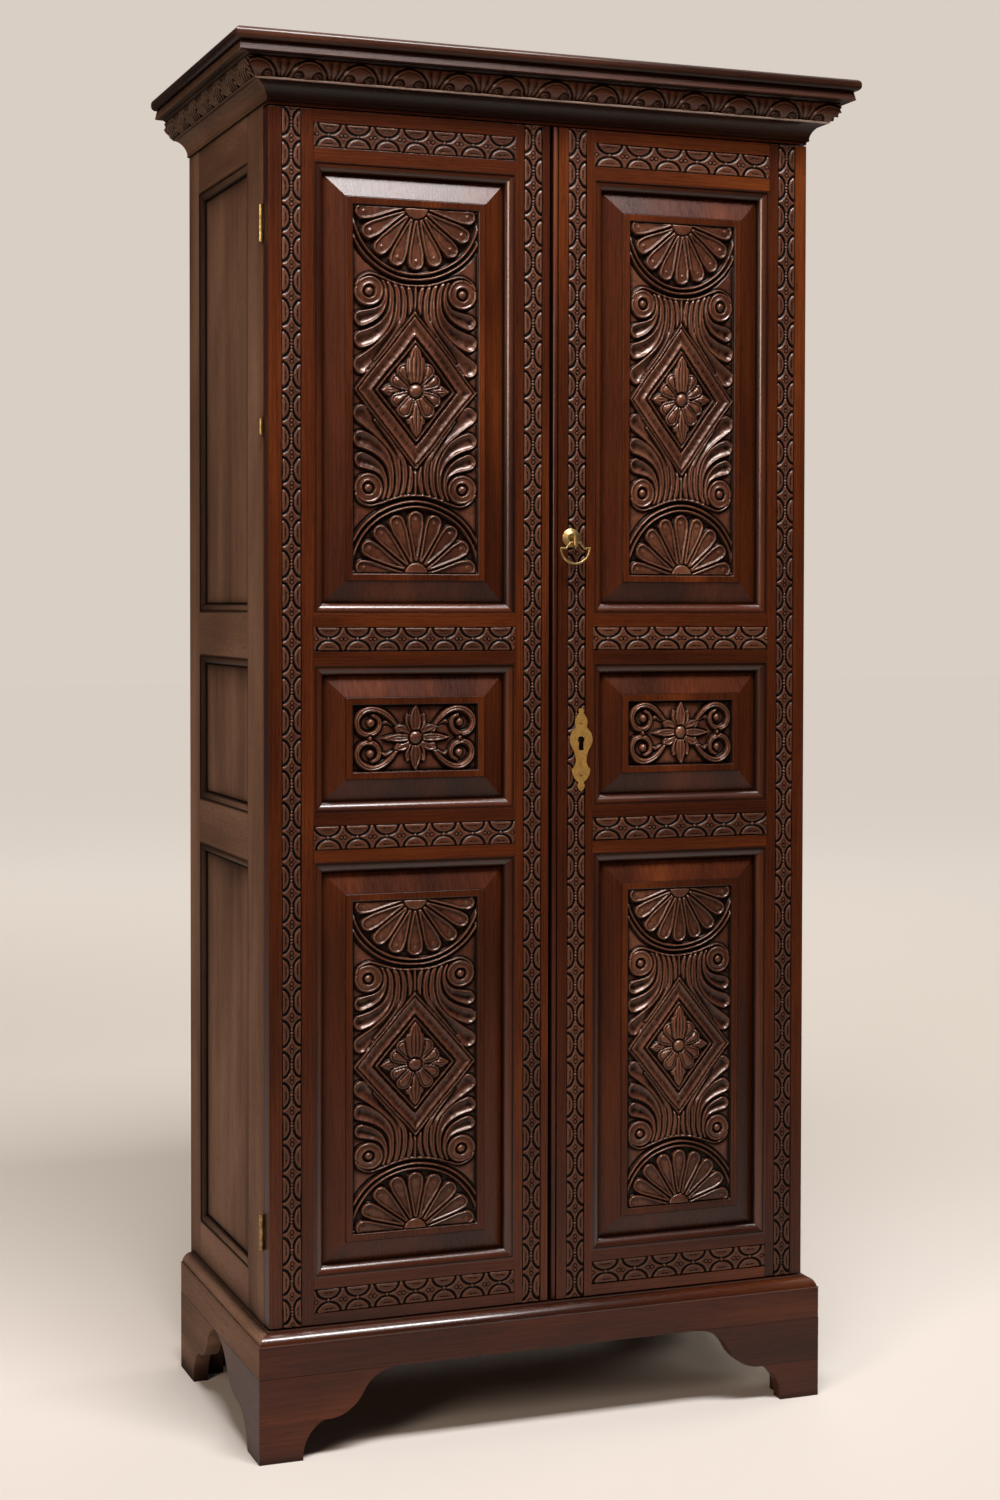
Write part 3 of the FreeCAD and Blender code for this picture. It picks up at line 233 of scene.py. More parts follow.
def reliefPiece(name, front, backs, shade, grain, body, finishes, deep=1, plain=None):
    # closed sheet: a grid of front points, a rim of back points, and a fan that closes the
    # back. shade is (hollow, crest): how dark the hollows are painted, as old wax and shade, and
    # how pale the crests, as wear and a highlight; quads with four plain corners take the second
    # finish
    rows, cols = front.shape[:2]
    grid = np.arange(rows * cols).reshape(rows, cols)
    corners = [grid[:-1, :-1], grid[:-1, 1:], grid[1:, 1:], grid[1:, :-1]]
    quads = np.stack(corners, -1).reshape(-1, 4)
    rim = np.concatenate([grid[0, :-1], grid[:-1, -1], grid[-1, :0:-1], grid[:0:-1, 0]])
    backRim = rows * cols + np.arange(len(rim))
    centre = np.full(len(rim), rows * cols + len(rim))
    ahead = np.roll(np.arange(len(rim)), -1)
    walls = np.stack([rim[ahead], rim, backRim, backRim[ahead]], -1)
    fan = np.stack([backRim[ahead], backRim, centre], -1)
    rear = backs.reshape(-1, 3)[rim]
    points = np.vstack([front.reshape(-1, 3), rear, rear.mean(0)])
    faces = quads.tolist() + walls.tolist() + fan.tolist()
    mesh = newPiece(name, points, faces, body, finishes).data
    mesh.polygons.foreach_set("use_smooth", np.arange(len(faces)) < len(quads))
    if plain is not None:
        second = np.zeros(len(faces), np.int32)
        second[:len(quads)] = plain.ravel()[quads].all(1)
        mesh.polygons.foreach_set("material_index", second)
    for label, values in zip(("hollow", "crest"), shade):
        addLayer(mesh, label, np.concatenate([values.ravel(), np.zeros(len(rim) + 1)]))
    addGrain(mesh, grain, deep)


# materials
def toLinear(text):
    # sRGB hex to linear: c / 12.92 below 0.04045, else ((c + 0.055) / 1.055)^2.4
    values = [int(text[i:i + 2], 16) / 255 for i in (1, 3, 5)]
    return [v / 12.92 if v <= 0.04045 else ((v + 0.055) / 1.055) ** 2.4
            for v in values] + [1.0]


def fillSockets(tree, node, sockets):
    # a socket takes a value, or a link where it is given another node's output
    for key, value in sockets.items():
        if isinstance(value, bpy.types.NodeSocket):
            tree.links.new(value, node.inputs[key])
        else:
            node.inputs[key].default_value = value


def addNode(tree, kind, sockets=None, out=0, stops=(), **settings):
    # adds a node with its settings, colour stops and sockets, and gives one of its outputs
    node = tree.nodes.new("ShaderNode" + kind)
    for key, value in settings.items():
        setattr(node, key, value)
    for number, (position, colour) in enumerate(stops):
        elements = node.color_ramp.elements
        stop = elements[number] if number < 2 else elements.new(position)
        stop.position, stop.color = position, toLinear(colour)
    fillSockets(tree, node, sockets or {})
    return node.outputs[out]


def newMaterial(name):
    # an empty surface: the material, its node tree and its shader
    material = bpy.data.materials.new(name)
    material.use_nodes = True
    return material, material.node_tree, material.node_tree.nodes["Principled BSDF"]


def cornerShadeAndDirt(tree, colour, reach, amount, start, full, cornerColour):
    # painted shade and dirt in the inner corners: darkens every inner corner within its reach in
    # metres, from nothing where the open share of the sky is start up to the amount where it is
    # full
    nearby = addNode(tree, "AmbientOcclusion", {"Distance": reach}, "AO", samples=6)
    closed = addNode(tree, "MapRange", {"Value": nearby, "From Min": start, "From Max": full,
                                        "To Min": 0.0, "To Max": amount})
    return closed, addNode(tree, "Mix", {0: closed, 6: colour, 7: toLinear(cornerColour)}, 2,
                           data_type="RGBA")


oakBase = {     # what an oak has unless it says otherwise; reaches are in metres
    # hollow: colour painted in the hollows, old wax with painted shade; crest: colour of the
    # crests, wear with a painted highlight
    "hollow": "#050201", "crest": "#7e533c", "specular": 0.25, "coat": 0.05,
    # the corner keys give painted shade in the inner corners: its amount, reach, and the open
    # share where it is full
    "sheenTint": "#ffffff", "cornerShade": 0.8, "cornerShadeReach": 0.012, "cornerShadeFull": 0.3,
}
oaks = {        # tones run from the dark figure to the pale flash
    # frames, panels and plinth: deep red-brown stain under wax, with a soft broad shine
    "waxedOakFront": {
        "tones": ("#260d05", "#331406", "#3f1a08", "#52260c"), "crest": "#9a6248",
        "roughness": 0.26},
    # the same stain, rubbed to a polish: thin bright lines along the mouldings
    "polishedOakMoulding": {
        "tones": ("#260d05", "#331406", "#3f1a08", "#52260c"), "crest": "#9a6248",
        "roughness": 0.26, "specular": 0.5, "coat": 0.35},
    # the cornice is darker and browner
    "waxedOakCornice": {
        "tones": ("#180a05", "#221009", "#2d170e", "#3b2015"), "roughness": 0.27},
    # carved grounds: cuts painted black as shade and old wax, crests paler as wear and a painted
    # highlight, and glossier where cloths rub them
    "waxedOakCarved": {
        "tones": ("#2a130a", "#3f2014", "#4d2c1e", "#5e3a29"), "hollow": "#070302",
        "roughness": 0.29, "specular": 0.50, "coat": 0.10, "sheenTint": "#ffeade",
        "cornerShade": 0.75, "cornerShadeReach": 0.008, "cornerShadeFull": 0.25},
    # shallow bands: dull dark wood; the cuts are painted black as shade, making crisp outlines
    "waxedOakBand": {
        "tones": ("#210e08", "#2f170e", "#3b2015", "#492b1c"), "hollow": "#020101",
        "crest": "#7a503c", "roughness": 0.36, "specular": 0.30, "coat": 0.02,
        "sheenTint": "#fff0e6", "cornerShade": 0.5, "cornerShadeReach": 0.004},
    # case side: dry, and painted a paler grey brown than the front, as lit by the cool side
    # light; painted shade along every inner corner
    "waxedOakSideLit": {
        "tones": ("#4b372b", "#634939", "#725645", "#826554"), "hollow": "#0a0504",
        "crest": "#947060", "roughness": 0.52, "specular": 0.18, "coat": 0.0,
        "sheenTint": "#ffe6d8", "cornerShade": 0.95, "cornerShadeReach": 0.035, "cornerShadeFull": 0.62},
    # carved part of the side: the same paler, greyer lit tone, with the cuts painted black as
    # shade
    "waxedOakSideLitCarved": {
        "tones": ("#33251d", "#4c392e", "#5e493c", "#6c564a"), "hollow": "#020101",
        "crest": "#96806e", "roughness": 0.45, "coat": 0.0, "sheenTint": "#ffe6d8",
        "cornerShade": 0.9, "cornerShadeReach": 0.010},
    # bare boards inside: pale, dry and matt
    "plainOakInside": {
        "tones": ("#463124", "#553c2a", "#634833", "#70533b"), "hollow": "#1c120c",
        "crest": "#8a6c50", "roughness": 0.62, "specular": 0.3, "coat": 0.0,
        "cornerShade": 0.6, "cornerShadeReach": 0.020, "cornerShadeFull": 0.4},
    # worn edge of the bead under the cornice, painted pale as a bright highlight line
    "beadHighlightOakEdge": {
        "tones": ("#8a6e60", "#ad968a", "#c4b0a6", "#d4c4bc"), "hollow": "#140a07",
        "crest": "#b99888", "roughness": 0.30, "specular": 0.5, "coat": 0.1,
        "cornerShade": 0.0, "cornerShadeReach": 0.005},
}


def oakMaterial(name, tone):
    # stained, waxed oak: straight dark pores close together, faint tone changes along the
    # board; hollows painted dark, as old wax and as shade, and crests painted pale, as wear
    # and as a highlight
    material, tree, shader = newMaterial(name)
    grain, hollow, crest, sideways = (
        addNode(tree, "Attribute", out="Vector" if label == "grain" else "Fac",
                attribute_name=label) for label in ("grain", "hollow", "crest", "sideways"))

    def figure(scale, detail, roughness, distortion=0.0):
        # noise stretched along the grain: scale is cycles a metre along, across and deep
        stretched = addNode(tree, "Mapping", {"Vector": grain, "Scale": scale})
        return addNode(tree, "TexNoise", {"Vector": stretched, "Scale": 1.0, "Detail": detail,
                                          "Roughness": roughness, "Distortion": distortion},
                       "Fac")

    broad = figure((1.6, 18, 18), 2.0, 0.5)         # soft bands about 55 mm wide
    growth = figure((7, 420, 110), 5.0, 0.66)       # growth lines about 2.5 mm apart and finer
    pores = figure((42, 1300, 300), 2.0, 0.6)       # open pores 0.8 mm wide and 25 mm long
    clouds = figure((2.4, 6, 6), 2.0, 0.5, 0.6)     # paler patches about 250 mm long
    value = 0.0
    for part, share in ((growth, 0.48), (broad, 0.8), (clouds, 0.9)):
        value = addNode(tree, "Math", {0: part, 1: share, 2: value}, operation="MULTIPLY_ADD")
    value = addNode(tree, "MapRange", {"Value": value, "From Min": 0.69, "From Max": 1.49})
    colour = addNode(tree, "ValToRGB", {"Fac": value},
                     stops=list(zip((0.12, 0.40, 0.62, 0.92), tone["tones"])))
    dark = addNode(tree, "ValToRGB", {"Fac": pores}, stops=[(0.34, "#77625b"),
                                                            (0.48, "#ffffff")])
    colour = addNode(tree, "Mix", {0: 0.55, 6: colour, 7: dark}, 2, data_type="RGBA",
                     blend_type="MULTIPLY")
    # crests painted paler, as wear and as a highlight; hollows painted darker, as old wax and as
    # shade
    wornAndHighlit = addNode(tree, "Math", {0: crest, 1: 0.2}, operation="MULTIPLY")
    for share, over in ((wornAndHighlit, "crest"), (hollow, "hollow")):
        colour = addNode(tree, "Mix", {0: share, 6: colour, 7: toLinear(tone[over])}, 2,
                         data_type="RGBA")
    # painted shade in every inner corner
    closed, colour = cornerShadeAndDirt(tree, colour, tone["cornerShadeReach"], tone["cornerShade"], 0.97,
                            tone["cornerShadeFull"], tone["hollow"])
    # painted shade on the shine: specular x (1 - 0.8 x the larger of the corner shade and the
    # hollow darkness)
    shadeOnShine = addNode(tree, "Math", {0: closed, 1: hollow}, operation="MAXIMUM")
    shine = addNode(tree, "Math", {0: shadeOnShine, 1: -0.8 * tone["specular"],
                                   2: tone["specular"]}, operation="MULTIPLY_ADD")
    rough = addNode(tree, "MapRange", {
        "Value": growth, "From Min": 0.3, "From Max": 0.7,
        "To Min": tone["roughness"] - 0.02, "To Max": tone["roughness"] + 0.05})
    for part, share in ((sideways, 0.22), (hollow, 0.05), (crest, -0.03)):
        rough = addNode(tree, "Math", {0: part, 1: share, 2: rough}, operation="MULTIPLY_ADD")
    depth = addNode(tree, "Math", {0: growth, 1: 0.8, 2: pores}, operation="MULTIPLY_ADD")
    bump = addNode(tree, "Bump", {"Height": depth, "Strength": 0.11, "Distance": 0.0005})
    shader.inputs["Specular IOR Level"].default_value = tone["specular"]
    fillSockets(tree, shader, {
        "Base Color": colour, "Specular IOR Level": shine, "Roughness": rough, "Normal": bump,
        "Specular Tint": toLinear(tone["sheenTint"]), "Coat Weight": tone["coat"],
        "Coat Roughness": 0.16})
    return material


brasses = {
    # cast and handled: golden where hands rub it, brown film elsewhere
    "agedBrass": {"tones": ("#6a5432", "#a08554", "#d2b884"), "smooth": 0.28, "dull": 0.46,
                  "metal": 0.9},
    # thin rolled plate, seldom touched: duller and more even
    "dullBrassPlate": {"tones": ("#86632f", "#a37c3f", "#bb9450"), "smooth": 0.42,
                       "dull": 0.56, "metal": 0.7},
}


def brassMaterial(name, tone):
    # film comes in spots about 7 mm wide, and the metal is rougher where the film lies
    material, tree, shader = newMaterial(name)
    place = addNode(tree, "TexCoord", out="Object")
    film = addNode(tree, "TexNoise", {"Vector": place, "Scale": 140.0, "Detail": 5.0,
                                      "Roughness": 0.6}, "Fac")
    colour = addNode(tree, "ValToRGB", {"Fac": film},
                     stops=list(zip((0.26, 0.50, 0.74), tone["tones"])))
    # painted shade and dirt in the inner corners
    colour = cornerShadeAndDirt(tree, colour, 0.004, 0.8, 0.9, 0.3, "#1c120a")[1]
    rough = addNode(tree, "MapRange", {"Value": film, "From Min": 0.3, "From Max": 0.7,
                                       "To Min": tone["dull"], "To Max": tone["smooth"]})
    fine = addNode(tree, "TexNoise", {"Vector": place, "Scale": 900.0, "Detail": 2.0}, "Fac")
    bump = addNode(tree, "Bump", {"Height": fine, "Strength": 0.15, "Distance": 0.0002})
    fillSockets(tree, shader, {"Base Color": colour, "Metallic": tone["metal"],
                               "Roughness": rough, "Normal": bump})
    return material


def ironMaterial(name):
    # blackened wrought iron with a dull oiled skin, a little rusty in spots
    material, tree, shader = newMaterial(name)
    place = addNode(tree, "TexCoord", out="Object")
    skin = addNode(tree, "TexNoise", {"Vector": place, "Scale": 90.0, "Detail": 6.0,
                                      "Roughness": 0.65}, "Fac")
    colour = addNode(tree, "ValToRGB", {"Fac": skin},
                     stops=[(0.35, "#1c1a18"), (0.60, "#37322d"), (0.80, "#4d3a2b")])
    bump = addNode(tree, "Bump", {"Height": skin, "Strength": 0.3, "Distance": 0.0005})
    fillSockets(tree, shader, {"Base Color": colour, "Metallic": 0.85, "Roughness": 0.5,
                               "Normal": bump})
    return material


(frontWood, mouldingWood, corniceWood, carvedWood, bandWood, sideLitWood, sideLitCarvedWood,
 innerWood, beadHighlightWood) = [oakMaterial(name, {**oakBase, **tone}) for name, tone in oaks.items()]
brass, brassPlate = [brassMaterial(name, tone) for name, tone in brasses.items()]
iron = ironMaterial("blackenedIron")
print("materials:", len(bpy.data.materials))


# tall carved panels
tallCarving = {
    # the pattern is drawn to this half size and stretched to each panel
    "halfWidth": 89.75, "halfHeight": 248.0,
    "hubRadius": 17.0, "hubAbove": 2.0, "arcInner": 92.5, "arcOuter": 99.8,
    "petalAngle": 20.6, "petalReach": 87.0, "petalHalf": 11.2,
    "volute": (67.0, 133.0, 20.5), "eyeRadius": 6.8,
    "lozenge": (87.5, 107.5), "innerLozenge": (55.0, 66.0), "nickPitch": 13.0,
    "ballRadius": 10.0,
    # rosette: outlines of its leaves as (place along, half width), and its round petals as
    # (angle, reach, half width)
    "uprightLeaf": [(6, 6), (14, 10.5), (26, 13.6), (39, 13.6), (44.5, 12.6), (46, 9.6),
                    (52, 8.4), (58, 5.2), (63.5, 0.3)],
    "sideLeaf": [(6, 6), (16, 10.5), (26, 12.0), (34, 10.2), (43, 5.4), (50, 0.3)],
    "petals": [(27, 39, 10.2), (58, 42, 10.6)],
    "relief": 5.9, "cell": 1.05,
    "proud": 1.32,           # the whole relief is stretched outward by this much
    # curves of one quarter: x, z, half width, from the leaf tip up to the neck
    "leaves": [
        [(77, 95, 10.5), (66, 98.5, 9.5), (55, 104, 7.2), (47, 112.5, 4.6), (43, 124, 3.0),
         (43, 136, 2.6), (47, 147, 2.0)],
        [(77.5, 67, 11.5), (66, 71, 11), (54, 78, 9.4), (43, 89, 7.2), (36, 103, 5.0),
         (34, 118, 3.6), (35, 134, 3.2), (39.5, 146, 2.4)],
        [(76.5, 33, 12.5), (65, 42, 11.6), (52, 54, 9.8), (39, 69, 7.4), (29, 86, 5.4),
         (25, 104, 4.2), (24.6, 122, 3.5), (26.5, 136, 3.2), (30, 144, 2.4)],
        [(58, 40, 1.2), (42, 60, 2.0), (27, 79, 2.8), (17.5, 96, 3.3), (15.2, 112, 3.6),
         (15.8, 126, 3.3), (18.5, 137, 2.8), (21, 142, 2.2)],
        [(8, 103, 1.2), (6.6, 112, 2.6), (6.8, 124, 3.2), (8.6, 134, 3.0), (10.5, 141, 2.4)],
    ],
    "collar": [(86, 141, 1.5), (80, 150.5, 1.6), (66, 156.5, 1.7), (49, 152.5, 1.6),
               (32, 146.5, 1.5), (15, 142.8, 1.5), (-4, 141.8, 1.5)],
}


def fanRelief(x, z, size):
    # scallop of petals round a hub at (0, 0), z away from the hub: a petal is a strip whose
    # half width is min(petalHalf, a tan(step / 2)) with a round tip; two ridges run round it
    radius = np.hypot(x, z)
    angle = np.arctan2(z, x) - math.pi / 2
    step = math.radians(size["petalAngle"])
    number = np.clip(np.round(angle / step), -4, 4)
    along = radius * np.cos(angle - number * step)
    across = np.abs(radius * np.sin(angle - number * step))
    full = size["petalHalf"]
    tip = size["petalReach"] - full
    half = np.minimum(full, along * math.tan(step / 2) - 0.7)
    inside = np.where(along < tip, half - across, full - np.hypot(along - tip, across))
    height = 0.2 + smooth(-0.5, 1.0, inside) * 3.3
    height += ridge(inside - 1.9, 2.2) * 2.3
    height += dome(np.hypot(along - tip + 1, across), 2.6) * 0.9
    hub = radius - size["hubRadius"]
    height = np.where(hub < 1.6, 0.2 + smooth(1.2, -0.3, hub) * 4.2
                      + dome(radius, size["hubRadius"]) * 1.2, height)
    for arc in (size["arcInner"], size["arcOuter"]):
        height = np.maximum(height, 0.3 + ridge(radius - arc, 2.7) * 5.2)
    # a thin ridge closes the fan along its straight edge
    straight = np.where(radius > size["hubRadius"] + 1, ridge(z - 3.4, 2.0) * 4.0, 0)
    return np.maximum(height, straight), size["arcOuter"] + 2.6 - radius


def scoopRelief(x, z, controls):
    # gouged leaf: raised rim, hollowed by half its half width times 1 - (offset / half)^2
    inside, half, offset = alongCurve(x, z, controls)
    hollow = np.minimum(4.6, half * 0.5) * np.clip(1 - (offset / half) ** 2, 0, 1)
    return 0.4 + smooth(-0.5, 1.2, inside) * 5.2 - hollow * smooth(0.6, 2.6, inside), inside


def voluteRelief(x, z, centre, eyeRadius):
    # flat scroll end: a rim, a faint ring, and a ball in a deep round eye
    radius = np.hypot(x - centre[0], z - centre[1])
    inside = centre[2] - radius
    height = 0.3 + smooth(-0.6, 1.0, inside) * 4.0 + ridge(inside - 1.6, 1.7) * 1.2
    height -= ridge(inside - 5.0, 1.6) * 0.5
    gap = 2.0
    height += ridge(radius - (eyeRadius + gap) - 1.5, 1.8) * 1.1
    return ballIn(height, radius, eyeRadius, gap, 0.15, 0.15, 5.6), inside


def leafShape(along, across, outline):
    # leaf on an axis: its half width at each place along is read off the outline's rows
    rows = np.asarray(outline, float)
    half = np.interp(along, rows[:, 0], rows[:, 1])
    inside = np.where((along > rows[0, 0]) & (along < rows[-1, 0]), half - across, -9.0)
    share = across / np.maximum(half, 1)
    body = 0.2 + smooth(-0.3, 1.6, inside) * 3.2 + (1 - share * share) * 1.4
    veins = ridge((share * 2.4 + 0.5) % 1 - 0.5, 0.36) * smooth(1.0, 2.5, inside)
    return body - veins * 1.3, inside


def petalRound(x, z, angle, end, half):
    # round petal on a ray: a wedge that ends in a circle, a sunk ring, and a raised seed
    along, across = turned(x, z, math.radians(angle))
    across = np.abs(across)
    tip = end - half
    width = half * np.clip(along / tip, 0, 1) ** 0.6
    inside = np.where(along < tip, width - across, half - np.hypot(along - tip, across))
    body = 0.2 + smooth(-0.3, 1.4, inside) * 4.0 - ridge(inside - 3.6, 1.5) * 1.9
    seed = np.hypot((along - tip + 2) / 2.6, across / 1.3)
    return body + dome(seed, 2.2) * 0.9, inside


def rosetteRelief(x, z, size):
    # x is taken from the axis, z keeps its sign: side leaves lie lowest; above the middle the
    # upright leaf covers the petals, below it the petals cover the leaf
    height, reach = leafShape(x, np.abs(z), size["sideLeaf"])
    height = np.where(reach > -0.3, height - 0.4, 0.0)
    leaf, leafInside = leafShape(np.abs(z), x, size["uprightLeaf"])
    moat = (1.0, 1.6, 1.6)
    height = np.where(z < 0, laid(leaf, leafInside, height, 0.3, moat), height)
    for angle, end, half in size["petals"]:
        part, inside = petalRound(x, np.abs(z), angle, end, half)
        height = laid(part, inside, height, 0.3, moat)
        reach = np.maximum(reach, inside)
    height = np.where(z >= 0, laid(leaf + 0.4, leafInside, height, 0.3, moat), height)
    reach = np.maximum(reach, leafInside)
    radius, ball, gap = np.hypot(x, z), size["ballRadius"], 1.2
    height = ballIn(height, radius, ball, gap, 0.1, 0.4, 5.5)
    return np.maximum(height, 0) + 0.3, np.maximum(reach, ball + gap - radius)


def lozengeInside(x, z, wide, high):
    # distance inside a lozenge's edge: (1 - x / wide - z / high) wide high / hypot
    perp = wide * high / math.hypot(wide, high)
    return (1 - x / wide - z / high) * perp, perp


def tallRelief(x, z, size):
    # whole tall panel in pattern units; the quarter x, z > 0 repeats in both directions
    qx, qz = np.abs(x), np.abs(z)
    height = np.full(x.shape, 1.5)
    parts = [scoopRelief(qx, qz, leaf) for leaf in size["leaves"]]
    parts.append(voluteRelief(qx, qz, size["volute"], size["eyeRadius"]))
    for part, inside in parts:
        # a shape lies over what is there, with a narrow sunk line round it
        moat = ridge(inside + 1.3, 2.2) * 1.5
        height = np.minimum(height, height - moat + smooth(0, 1, inside) * moat)
        over = np.maximum(part, np.where(inside < 0.3, height, -9))
        height = np.where(inside > -0.6, over, height)
    inside, _, offset = alongCurve(qx, qz, size["collar"])
    height -= ridge(inside + 1.0, 1.6) * 1.4
    height = np.maximum(height, 0.4 + ridge(offset, 2.0) * 4.9)
    stem = np.where((qz > 105) & (qz < 141), 0.6 + ridge(qx, 3.0) * 4.2, 0)
    height = np.maximum(height, stem)

    wide, high = size["lozenge"]
    outer, perp = lozengeInside(qx, qz, wide, high)
    inner, innerPerp = lozengeInside(qx, qz, *size["innerLozenge"])
    width = perp - innerPerp
    # slanting band between the rims, a little hollow, with faint cross cuts
    t = np.clip((outer - 4.4) / (width - 10.0), 0, 1)
    cove = 4.7 - 3.0 * np.sin(math.pi * t) ** 0.8 - 0.4 * t
    along = (qx / wide - qz / high) * math.hypot(wide, high) / 2
    nick = ridge((along + 4) % size["nickPitch"] - size["nickPitch"] / 2, 0.9)
    cove -= nick * 0.4 * smooth(8, 10, outer) * smooth(6, 9, width - outer)
    onBand = outer < width - 5.6
    lozenge = np.where(outer < 3.2, 0.3 + ridge(outer - 1.0, 2.2) * 5.2,
                       np.where(onBand, cove, 0.2))
    lozenge -= ridge(outer - 3.6, 1.5) * 2.6 * onBand
    lozenge = np.maximum(lozenge, 0.2 + ridge(outer - width + 0.6, 1.8) * 4.4)
    height = laid(lozenge, outer, height, 0.9, (1.9, 1.9, 1.9))
    rosette, inside = rosetteRelief(qx, z, size)
    height = np.where(inner > 1.0, np.where(inside > -0.3, rosette, 0.3), height)
    tips = (inner <= 1.0) & (inside > -0.3) & (qx < 30)
    height = np.where(tips, np.maximum(rosette, height), height)

    fan, inside = fanRelief(qx, size["halfHeight"] + size["hubAbove"] - qz, size)
    return np.clip(laid(fan, inside, height, 0, (1.6, 2.8, 1.5)), 0.1, size["relief"])


# low carved panels
lowCarving = {
    "halfWidth": 89.75, "halfHeight": 45.25, "ballRadius": 9.6,
    "relief": 5.9, "proud": 1.32, "cell": 0.75,
    "scroll": [(24, 13, 1.6), (33, 24.5, 3.2), (44, 34.5, 4.2), (57, 39.8, 4.7),
               (70, 38.6, 4.8), (80.5, 30.5, 4.6), (83.5, 19.5, 4.3), (78, 9, 4.0),
               (67, 5.2, 3.8), (56.5, 9.0, 3.6), (51.5, 18, 3.4), (53.5, 27, 3.1),
               (60.5, 31, 2.6)],
    "eye": (63.5, 21.0, 6.0),
    "spur": [(48, 20, 2.0), (41, 23, 2.6), (33, 18, 1.6)],
    "link": (64.5, 0.5, 3.2),
    # leaves of the flower: angle, reach, half width, power that moves the widest place
    "flower": [(27, 34, 8.0, 1.25), (69, 35, 6.6, 1.25), (90, 45, 8.0, 0.95),
               (0, 49, 5.6, 0.85)],
    "leafStart": 2,
}


def lowRelief(x, z, size):
    # four C scrolls tied by balls, and a flower of pointed leaves with a ball; a leaf's half
    # width is half sin(pi t^power)^0.8
    qx, qz = np.abs(x), np.abs(z)
    height = np.full(x.shape, 1.2)
    inside = alongCurve(qx, qz, size["spur"])[0]
    body = 0.6 + smooth(-0.4, 1.2, inside) * 2.6
    height = laid(body, inside, height, 0.4, (1, 1.8, 1))
    inside, half, offset = alongCurve(qx, qz, size["scroll"])
    t = np.clip(offset / half, 0, 1)
    body = 0.5 + smooth(-0.5, 0.9, inside) * 2.8 + ridge(t - 0.35, 0.55) * 2.4
    height = laid(body, inside, height, 0.5, (1.5, 2.4, 1.1))
    eyeX, eyeZ, ball = size["eye"]
    height = ballIn(height, np.hypot(qx - eyeX, qz - eyeZ), ball, 1.0, 0.2, 0.5, 5.0)
    linkX, linkZ, ball = size["link"]
    height = ballIn(height, np.hypot(qx - linkX, qz - linkZ), ball, 1,
                    np.minimum(height, 0.6), 1.2, 3.6)
    for angle, end, wide, power in size["flower"]:
        for turn in (angle, 180 - angle, -angle, 180 + angle):
            along, across = turned(x, z, math.radians(turn))
            start = size["leafStart"]
            t = np.clip((along - start) / (end - start), 0, 1)
            half = wide * np.sin(math.pi * t ** power) ** 0.8
            inside = np.where((along > start) & (along < end), half - np.abs(across), -9.0)
            body = 1.0 + smooth(-0.4, 1.2, inside) * 2.6 + ridge(inside - 1.5, 1.6) * 1.3
            body += ridge(across, 1.3) * 0.8
            height = laid(body, inside, height, 0.4, (1.2, 1.8, 0.8))
    height = ballIn(height, np.hypot(x, z), size["ballRadius"], 1.3, 0.4, 0.6, 5.2)
    return np.clip(height, 0.15, size["relief"])


def shadeOf(height, cell):
    # painted shade and highlight: hollow is how far a spot lies under its surroundings,
    # blurred over 1.3 and over 4.2 mm, and darkens it as shade and old wax; crest is how far
    # it stands over the nearer ones, and lightens it as wear and a highlight
    fine = blurred(height, 1.3 / cell)
    broad = blurred(height, 4.2 / cell)
    hollow = np.clip((fine - height - 0.05) / 0.6, 0, 1)
    hollow += np.clip((broad - height - 0.1) / 1.7, 0, 1)
    crest = np.clip((height - fine - 0.08) / 0.6, 0, 1)
    return np.clip(hollow, 0, 1) ** 0.75, crest


def flatPatch(x0, x1, z0, z1, cell):
    # even grid over a rectangle: columns run in x, rows in z
    x = np.linspace(x0, x1, int(round((x1 - x0) / cell)) + 1)
    z = np.linspace(z0, z1, int(round((z1 - z0) / cell)) + 1)
    return np.meshgrid(x, z)


def flatRelief(name, body, x, z, floor, height, thick, shade, grain, finishes, plain=None):
    # relief that rises from a floor towards the front: y = floor - height
    front = np.stack([x, floor - height, z], -1)
    backs = np.stack([x, np.full(x.shape, floor + thick), z], -1)
    reliefPiece(name, front, backs, shade, grain, body, finishes, plain=plain)


panelField = {
    "bevel": 29,
    "ground": 7.5,                   # depth of the sunk ground under the door's face
    "border": 11.0,
    "borderRise": 7.3,               # how far the border stands over the sunk ground
    "borderSkirt": 5.2,
    "drift": (16, 0.45),             # waves of the hand's drift and of the tool's marks
    "tooth": (2.2, 0.10),
}


